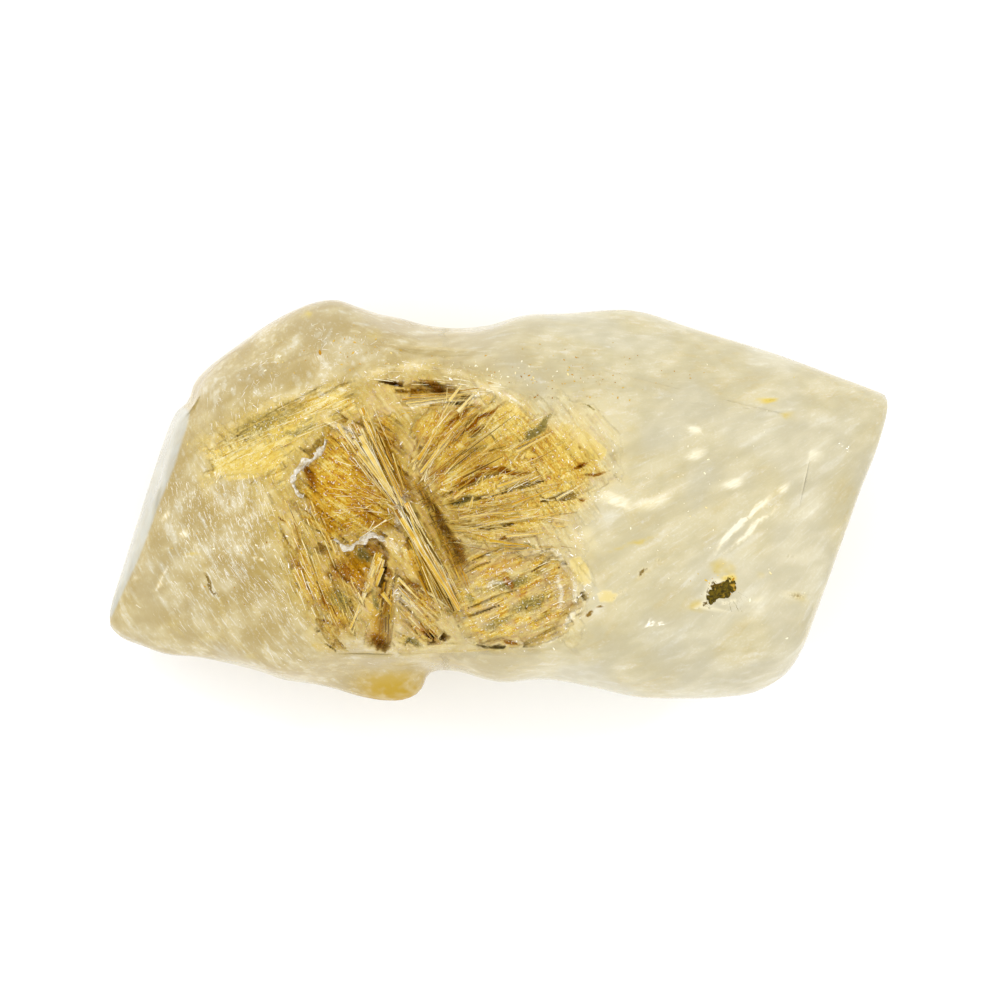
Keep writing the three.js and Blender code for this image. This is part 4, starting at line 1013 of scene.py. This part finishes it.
def lathMaterial():
    material, tree, shader, output = newMaterial("stainedLaths")
    place = startWires(tree)
    tone = readAttribute(place, "tone")
    mottles = place.noise(1.1, 1, 0.65)
    flecks = place.noise(4.5, 2, 0.7)
    share = tone * 1.05 + mottles * 0.4 + flecks * 0.2 - 0.32
    feed(tree, shader, {
        "Base Color": share.ramp(lathFinish["tones"]), "Roughness": flecks.band(0.35, 0.65, 0.05, 0.2),
        "Normal": flecks.bump(lathFinish["bump"], lathFinish["bumpHeight"]), "IOR": lathFinish["ior"],
        "Transmission Weight": lathFinish["transmission"], "Specular IOR Level": lathFinish["sheen"],
    })
    return material


lathSkin = lathMaterial()
lathGrowth = lathTree(lathSkin)
bundleGroups = [(bundle, bundleSeeds) for bundle in bladeBundles.values()] + [(fan, fanSeeds) for fan in fans.values()]
grow("windowLaths", seedCloud("windowSeeds", bundleGroups, 5), lathGrowth,
     {"Sides": 5, "Tip share": 0.4, "Flatness": 0.5, "Roll": 0.7, "Seed": 3}, lathSkin)

# White splinters all over the window, most of all where the milky marks run: their near-white colour paints glints
chips = {
    "tries": 15000, "spread": ((-15.0, 8.0), (-10.2, 8.8)), "share": 0.055, "reach": (0.06, 0.36),
    "girth": (0.016, 0.05), "lift": 0.45, "seed": 23,
    "scratches": 2600, "scratchReach": (0.12, 0.62), "scratchGirth": (0.009, 0.02),
    # near-white colours: painted glints on the window's splinters, and the left half's white scratches
    "white": colour(252, 250, 244), "ivory": colour(244, 234, 196), "transmission": 0.1,
    "bump": 0.3, "bumpHeight": 0.03 * mm,
}


def slopeOf(plan):  # the face's outward direction under each plan point
    x, y = plan.T
    dx = (heightMap(x + 0.1, y) - heightMap(x - 0.1, y)) / 0.2
    dy = (heightMap(x, y + 0.1) - heightMap(x, y - 0.1)) / 0.2
    out = np.stack([-dx, -dy, np.ones_like(dx)], 1)
    return out / np.linalg.norm(out, axis=1)[:, None]


def flatAim(heading, out):  # directions with these headings that lie flat in the skin
    aim = np.column_stack([np.cos(heading), np.sin(heading), 0 * heading])
    return aim - out * (aim * out).sum(1)[:, None]


def glintMaterial():
    material, tree, shader, output = newMaterial("paintedGlintSplinters")
    place = startWires(tree)
    tint = place.noise(3.0, 2)
    feed(tree, shader, {
        "Base Color": tint.band(0.4, 0.7).mixColour(chips["white"], chips["ivory"]),
        "Roughness": tint.band(0.3, 0.7, 0.1, 0.25), "Normal": tint.bump(chips["bump"], chips["bumpHeight"]),
        "Transmission Weight": chips["transmission"],
    })
    return material


def chipCloud():
    rng = np.random.default_rng(chips["seed"])
    seen = np.column_stack([rng.uniform(*chips["spread"][k], chips["tries"]) for k in (0, 1)])
    plan = seen / nearer
    wanted = chips["share"] + strokeSum(strokes["milk"], *seen.T)
    kept = (windowMap(*plan.T) < 0.1) & (rng.uniform(0, 1, len(plan)) < wanted)
    plan = plan[kept]
    count = len(plan)
    depth = openWindow(*(plan * nearer).T)[0]
    heading = rng.uniform(0, 2 * math.pi, count)
    lift = rng.uniform(-chips["lift"], chips["lift"], count)
    aim = np.column_stack([np.cos(heading) * np.cos(lift), np.sin(heading) * np.cos(lift), np.sin(lift)])
    reach = chips["reach"][0] + (chips["reach"][1] - chips["reach"][0]) * rng.uniform(0, 1, count) ** 2
    girth = rng.uniform(*chips["girth"], count)
    start = np.column_stack([plan, heightMap(*plan.T) - depth]) - aim * reach[:, None] / 2

    # fine white scratches lie flat in the skin of the left half
    plan = rng.normal((-14.5, -1.5), (3.6, 4.6), (chips["scratches"], 2))
    plan[::5] = rng.normal((-12.0, 8.6), (3.2, 1.8), plan[::5].shape)
    plan = plan[(rimMap(*plan.T) < -1.5) & (windowMap(*plan.T) > -0.4) & (cloudNoise(*(plan * 0.5).T, 71) > 0.35)]
    heading = np.radians(rng.normal(bodyStreaks["leftHeading"], 16 + 30 * (plan[:, 1] > 6)))
    flat = flatAim(heading, slopeOf(plan))
    long = chips["scratchReach"][0] + np.ptp(chips["scratchReach"]) * rng.uniform(0, 1, len(plan)) ** 2
    below = np.column_stack([plan, heightMap(*plan.T)]) - flat * long[:, None] / 2
    start, aim = np.vstack([start, below]), np.vstack([aim, flat])
    reach = np.concatenate([reach, long])
    girth = np.concatenate([girth, rng.uniform(*chips["scratchGirth"], len(plan))])
    return pointCloud("chipSeeds", toRow(start), {"aim": aim, "reach": reach * mm, "girth": girth * mm})


glintSkin = glintMaterial()
grow("paintedGlintsAndScratches", chipCloud(), lathTree(glintSkin),
     {"Sides": 4, "Tip share": 0.35, "Flatness": 0.4, "Roll": 3.1, "Seed": 7}, glintSkin)

# Flakes lie just under the skin, dark ones of iron and white ones that paint glints: middle, spread, how many, size and
# tone, where 0 is white and 1 is dark
flakes = {"depth": 0.02, "thickness": 0.05, "seed": 8}
flakeGroups = {
    "olive trail": dict(at=(5.5, 7.6), spread=(6.5, 1.8), count=90, size=0.045, tone=0.6),
    "brow specks": dict(at=(2.0, 6.2), spread=(3.5, 0.6), count=40, size=0.05, tone=0.7),
    "left specks": dict(at=(-14.5, -1.5), spread=(6.0, 6.5), count=90, size=0.045, tone=0.45),
    "gold specks": dict(at=(-9.0, 9.0), spread=(5.0, 2.2), count=60, size=0.07, tone=0.5),
    # white flakes that paint small glints
    "white flecks": dict(at=(-13.0, 0.0), spread=(8.0, 9.0), count=100, size=0.055, tone=0.0),
    "right flecks": dict(at=(13.5, 0.0), spread=(8.0, 8.0), count=70, size=0.055, tone=0.0),
    "clot halo": dict(at=(14.3, -5.2), spread=(1.4, 0.9), count=24, size=0.065, tone=0.5),
    # white flakes along the rim that paint glints
    "painted rim glints": dict(at=(-1.0, 7.9), spread=(7.0, 0.9), count=70, size=0.05, tone=0.0),
}


def flakeSeeds():
    rng = np.random.default_rng(flakes["seed"])
    parts = []
    for group in flakeGroups.values():
        plan = np.array(group["at"]) + rng.normal(0, 0.5, (group["count"], 2)) * np.array(group["spread"])
        plan = plan / nearer
        plan = plan[(rimMap(*plan.T) < -1.2) & (windowMap(*plan.T) > 0)]
        count = len(plan)
        size = group["size"] * np.exp(rng.normal(0, 0.45, count))
        parts.append((plan, size, np.clip(group["tone"] + rng.normal(0, 0.12, count), 0, 1)))
    plan, size, tone = (np.concatenate([part[k] for part in parts]) for k in range(3))
    return plan, size, tone


flakePlan, flakeSize, flakeTone = flakeSeeds()
flakeWay = slopeOf(flakePlan)
flakePlaces = np.column_stack([flakePlan, heightMap(*flakePlan.T)]) - flakeWay * flakes["depth"]
flakeCloud = pointCloud("flakeSeeds", toRow(flakePlaces), {
    "aim": flakeWay, "reach": np.full(len(flakeSize), flakes["thickness"] * mm), "girth": flakeSize * mm,
    "tone": flakeTone})
grow("ironFlakesAndPaintedGlints", flakeCloud, lathGrowth,
     {"Sides": 6, "Tip share": 0.7, "Flatness": 0.5, "Roll": 3.1, "Seed": 9}, lathSkin)

films = {
    "leftFilm": dict(path=[(-10.2, 3.9), (-10.7, 2.75), (-11.6, 2.3), (-12.15, 1.7), (-12.35, 0.95), (-12.0, 0.35),
                           (-11.5, 0.2)], width=0.42, rise=0.14, sink=0.45, ruffle=0.1),
    "pitFilm": dict(path=[(-9.8, -2.3), (-9.35, -2.8), (-8.85, -2.95), (-8.15, -2.6), (-7.7, -2.2), (-7.15, -2.2),
                          (-6.5, -2.5)], width=0.42, rise=0.08, sink=0.5, ruffle=0.1),
}
filmFinish = {"white": colour(246, 242, 228), "shade": colour(204, 180, 122), "thickness": 0.03,
              "transmission": 0.35, "ior": 1.544, "bump": 0.8, "bumpHeight": 0.2 * mm, "points": (90, 9)}


def filmMaterial():
    material, tree, shader, output = newMaterial("tornFilm")
    place = startWires(tree)
    folds = place.noise(4.5, 3, 0.7)
    feed(tree, shader, {
        "Base Color": folds.band(0.4, 0.68).mixColour(filmFinish["white"], filmFinish["shade"]),
        "Roughness": folds.band(0.3, 0.7, 0.05, 0.25), "IOR": filmFinish["ior"],
        "Normal": folds.bump(filmFinish["bump"], filmFinish["bumpHeight"]),
        "Transmission Weight": filmFinish["transmission"],
    })
    return material


def tornFilm(name, film, material):  # a curled, ruffled strip along the edge of a pane
    line = np.array(film["path"]) / nearer
    along = np.concatenate([[0], np.cumsum(np.linalg.norm(np.diff(line, axis=0), axis=1))])
    count, lanes = filmFinish["points"]
    at = np.linspace(0, along[-1], count)
    centre = np.stack([np.interp(at, along, line[:, k]) for k in (0, 1)], 1)
    smooth = np.array([centre[max(0, i - 5):i + 6].mean(0) for i in range(count)])
    way = np.gradient(smooth, axis=0)
    side = np.stack([way[:, 1], -way[:, 0]], 1) / np.linalg.norm(way, axis=1)[:, None]
    places = []
    for lane in range(lanes):
        v = lane / (lanes - 1)
        torn = cloudNoise(at * 2.4, 0 * at + 3.1, 41) * 0.6 + cloudNoise(at * 7.0, 0 * at, 42) * 0.4
        reach = film["width"] * (0.45 + 0.9 * torn) * np.sin(np.pi * np.clip(at / along[-1], 0.06, 0.94)) ** 0.5
        waves = film["ruffle"] * (np.sin(at * 5.5 + 2 * v) * v + 1.5 * (cloudNoise(at * 4.5, at * 0 + v * 4, 43) - 0.5))
        out = smooth + side * ((v - 0.5) * reach + waves)[:, None]
        height = heightMap(*out.T) - film["sink"] * (1 - v) ** 1.5 + film["rise"] * np.sin(v * 2.6)
        places.append(np.column_stack([out, height + waves * 0.6]))
    places = np.vstack(places)
    faces = [(a * count + b, a * count + b + 1, (a + 1) * count + b + 1, (a + 1) * count + b)
             for a in range(lanes - 1) for b in range(count - 1)]
    piece = newPiece(name, toRow(places), faces, material)
    wall = piece.modifiers.new("thickness", "SOLIDIFY")
    wall.thickness = filmFinish["thickness"] * mm
    wall.offset = 0
    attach(piece, "root")


filmSkin = filmMaterial()
for filmName, film in films.items():
    tornFilm(filmName, film, filmSkin)
print("torn films laid")

veils = {"count": 11, "long": (3.0, 8.0), "wide": (1.0, 3.2), "bend": 0.9, "margin": 0.7, "underWindow": 2.6,
         "points": (26, 12), "seed": 17, "milk": colour(248, 244, 230), "gold": colour(226, 200, 130)}


def veilMaterial():
    material, tree, shader, output = newMaterial("milkVeil")
    place = startWires(tree)
    mist = place.turned(-35).scaled((0.4, 1.6, 1.3)).noise(1.4, 1, 0.68)
    feed(tree, shader, {
        "Base Color": mist.band(0.45, 0.65).mixColour(veils["gold"], veils["milk"]), "Roughness": 0.5,
        "Alpha": mist.band(0.46, 0.68, 0.0, 0.6),
    })
    return material


def milkVeils(material):  # healed cracks: bent sheets inside the stone, kept clear of its skin
    rng = np.random.default_rng(veils["seed"])
    rows, lanes = veils["points"]
    places, faces = [], []
    while len(places) < veils["count"]:
        middle = np.array([rng.uniform(-21, 21), rng.uniform(-9, 9), rng.uniform(-4, 6)])
        if stoneField(middle[None])[0] > -2:
            continue
        heading = math.radians(rng.normal(36 if middle[0] > -4 else -58, 14))
        tilt = rng.uniform(-0.9, 0.9)
        u = np.array([math.cos(heading), math.sin(heading), rng.uniform(-0.2, 0.2)])
        v = np.array([-math.sin(heading) * math.cos(tilt), math.cos(heading) * math.cos(tilt), math.sin(tilt)])
        n = np.cross(u, v)
        long, wide = rng.uniform(*veils["long"]), rng.uniform(*veils["wide"])
        a, b = np.meshgrid(np.linspace(-0.5, 0.5, rows), np.linspace(-0.5, 0.5, lanes), indexing="ij")
        a, b = a.ravel(), b.ravel()
        lift = veils["bend"] * (cloudNoise(a * 3 + middle[0], b * 2 + middle[1], 61) - 0.5) + 0.5 * a * b
        sheet = middle + a[:, None] * long * u + b[:, None] * wide * v + lift[:, None] * n
        plan = sheet[:, :2].T
        kept = stoneField(sheet) < -veils["margin"]
        kept &= sheet[:, 2] < heightMap(*plan) - veils["underWindow"] * (windowMap(*plan) < 0.5)
        start = sum(len(part) for part in places)
        for i in range(rows - 1):
            for j in range(lanes - 1):
                corners = (i * lanes + j, (i + 1) * lanes + j, (i + 1) * lanes + j + 1, i * lanes + j + 1)
                if kept[list(corners)].all():
                    faces.append(tuple(start + c for c in corners))
        places.append(sheet)
    places = np.vstack(places)
    used = sorted({c for face in faces for c in face})
    number = {old: new for new, old in enumerate(used)}
    piece = newPiece("milkVeils", toRow(places[used]), [tuple(number[c] for c in face) for face in faces], material)
    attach(piece, "root")


milkVeils(veilMaterial())
print("veils hung")

clot = {
    "lumps": 44, "at": (13.8, -5.45), "half": (0.95, 0.26), "heading": 33, "size": (0.2, 0.4),
    "flat": 0.4, "sink": 0.03,
    "needles": 44, "needlesAt": (14.5, -5.7), "needleSpread": 0.18, "needleHeadings": (-75, 10),
    "needleReach": (0.3, 0.75), "needleGirth": 0.022, "needleSink": 0.02, "needleTone": 0.9,
    "brown": colour(100, 82, 8), "dark": colour(56, 46, 2), "gold": colour(190, 150, 50), "sheen": 0.15,
    "bump": 0.7, "bumpHeight": 0.1 * mm, "seed": 6,
}


def clayMaterial():
    material, tree, shader, output = newMaterial("clay")
    place = startWires(tree)
    crumbs = place.noise(5.0, 4, 0.7)
    base = crumbs.band(0.4, 0.6).mixColour(clot["dark"], clot["brown"])
    base = place.noise(2.4, 2).band(0.6, 0.74).mixColour(base, clot["gold"])
    feed(tree, shader, {
        "Base Color": base, "Roughness": crumbs.band(0.3, 0.7, 0.6, 0.85), "Specular IOR Level": clot["sheen"],
        "Normal": crumbs.bump(clot["bump"], clot["bumpHeight"]),
    })
    return material


def clayLumps(rng):  # crumbs of clay pressed into the skin
    way, side = headingVector(clot["heading"])[:2], headingVector(clot["heading"] + 90)[:2]
    places, faces = [], []
    for lump in range(clot["lumps"]):
        ball = bmesh.new()
        bmesh.ops.create_icosphere(ball, subdivisions=3, radius=1)
        shape = np.array([tuple(v.co) for v in ball.verts])
        start = sum(len(part) for part in places)
        faces += [tuple(v.index + start for v in f.verts) for f in ball.faces]
        ball.free()
        u, v = np.clip(rng.normal(0, 0.5, 2), -1, 1)
        plan = np.array(clot["at"]) + way * u * clot["half"][0] + side * v * clot["half"][1]
        size = rng.uniform(*clot["size"]) * (1.1 - 0.5 * abs(u))
        crumble = 1 + 0.5 * (cloudNoise(shape[:, 0] * 2 + lump, shape[:, 1] * 2 + shape[:, 2], 51) - 0.5)
        crumble += 0.3 * (cloudNoise(shape[:, 0] * 5 + lump, shape[:, 1] * 5 + shape[:, 2] * 3, 52) - 0.5)
        shape = shape * crumble[:, None] * size * np.array([1, rng.uniform(0.6, 1), clot["flat"]])
        height = heightMap(plan[:1], plan[1:])[0] - clot["sink"]
        places.append(shape + np.array([plan[0], plan[1], height]))
    return np.vstack(places), faces


def needleCloud(rng):  # fine needles that fan out of the clot, flat in the skin
    count = clot["needles"]
    plan = np.array([clot["needlesAt"]]) + rng.normal(0, clot["needleSpread"], (count, 2))
    aim = flatAim(np.radians(rng.uniform(*clot["needleHeadings"], count)), slopeOf(plan))
    start = np.column_stack([plan, heightMap(*plan.T) - clot["needleSink"]])
    reach = rng.uniform(*clot["needleReach"], count)
    return pointCloud("needleSeeds", toRow(start + aim * reach[:, None] / 2), {
        "aim": aim, "reach": reach * mm, "girth": np.full(count, clot["needleGirth"] * mm),
        "tone": np.full(count, clot["needleTone"])})


clotRng = np.random.default_rng(clot["seed"])
claySkin = clayMaterial()
lumpPlaces, lumpFaces = clayLumps(clotRng)
clayClot = newPiece("clayClot", toRow(lumpPlaces), lumpFaces, claySkin)
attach(clayClot, "root")
grow("clotNeedles", needleCloud(clotRng), lathTree(claySkin),
     {"Sides": 4, "Tip share": 0.2, "Flatness": 0.8, "Roll": 3.0, "Seed": 2}, claySkin)

view = {"lens": 167.3, "sensor": 36, "height": 0.295, "aim": (0.00036, 0.00001), "clip": (0.01, 5)}


def addCamera():
    camera = bpy.data.cameras.new("view")
    camera.lens = view["lens"]
    camera.sensor_width = view["sensor"]
    camera.clip_start, camera.clip_end = view["clip"]
    eye = bpy.data.objects.new("view", camera)
    eye.location = (*view["aim"], view["height"])
    bpy.context.scene.collection.objects.link(eye)
    bpy.context.scene.camera = eye


paleFloor = {"half": 1.5, "white": (0.97, 0.97, 0.97, 1), "roughness": 0.9, "sheen": 0.1}
lights = {
    "sky": 1.2,
    "key": dict(power=0.6, size=0.1, at=(-0.17, 0.24, 0.45)),
    "glints": dict(power=0.16, size=0.03, at=[(0.3, 0.1, 0.42), (-0.36, -0.12, 0.36), (0.06, -0.34, 0.4)]),
}


def addFloor():
    material, tree, shader, output = newMaterial("paleFloor")
    feed(tree, shader, {"Base Color": paleFloor["white"], "Roughness": paleFloor["roughness"],
                        "Specular IOR Level": paleFloor["sheen"]})
    half = paleFloor["half"]
    corners = [(-half, -half, 0), (half, -half, 0), (half, half, 0), (-half, half, 0)]
    newPiece("floor", corners, [(0, 1, 2, 3)], material, smooth=False)


def addLights():
    world = bpy.data.worlds.new("softTent")
    world.use_nodes = True
    world.node_tree.nodes["Background"].inputs[0].default_value = (1, 1, 1, 1)
    world.node_tree.nodes["Background"].inputs[1].default_value = lights["sky"]
    bpy.context.scene.world = world
    glints = lights["glints"]
    for power, size, at in [(lights["key"]["power"], lights["key"]["size"], lights["key"]["at"])] + [
            (glints["power"], glints["size"], at) for at in glints["at"]]:
        lamp = bpy.data.lights.new("softLamp", "AREA")
        lamp.energy = power
        lamp.size = size
        holder = bpy.data.objects.new("softLamp", lamp)
        holder.location = at
        holder.rotation_euler = (-Vector(at)).to_track_quat("-Z", "Y").to_euler()
        bpy.context.scene.collection.objects.link(holder)


addFloor()
addCamera()
addLights()
bpy.context.scene.view_settings.view_transform = "Standard"
print("camera and lights set")
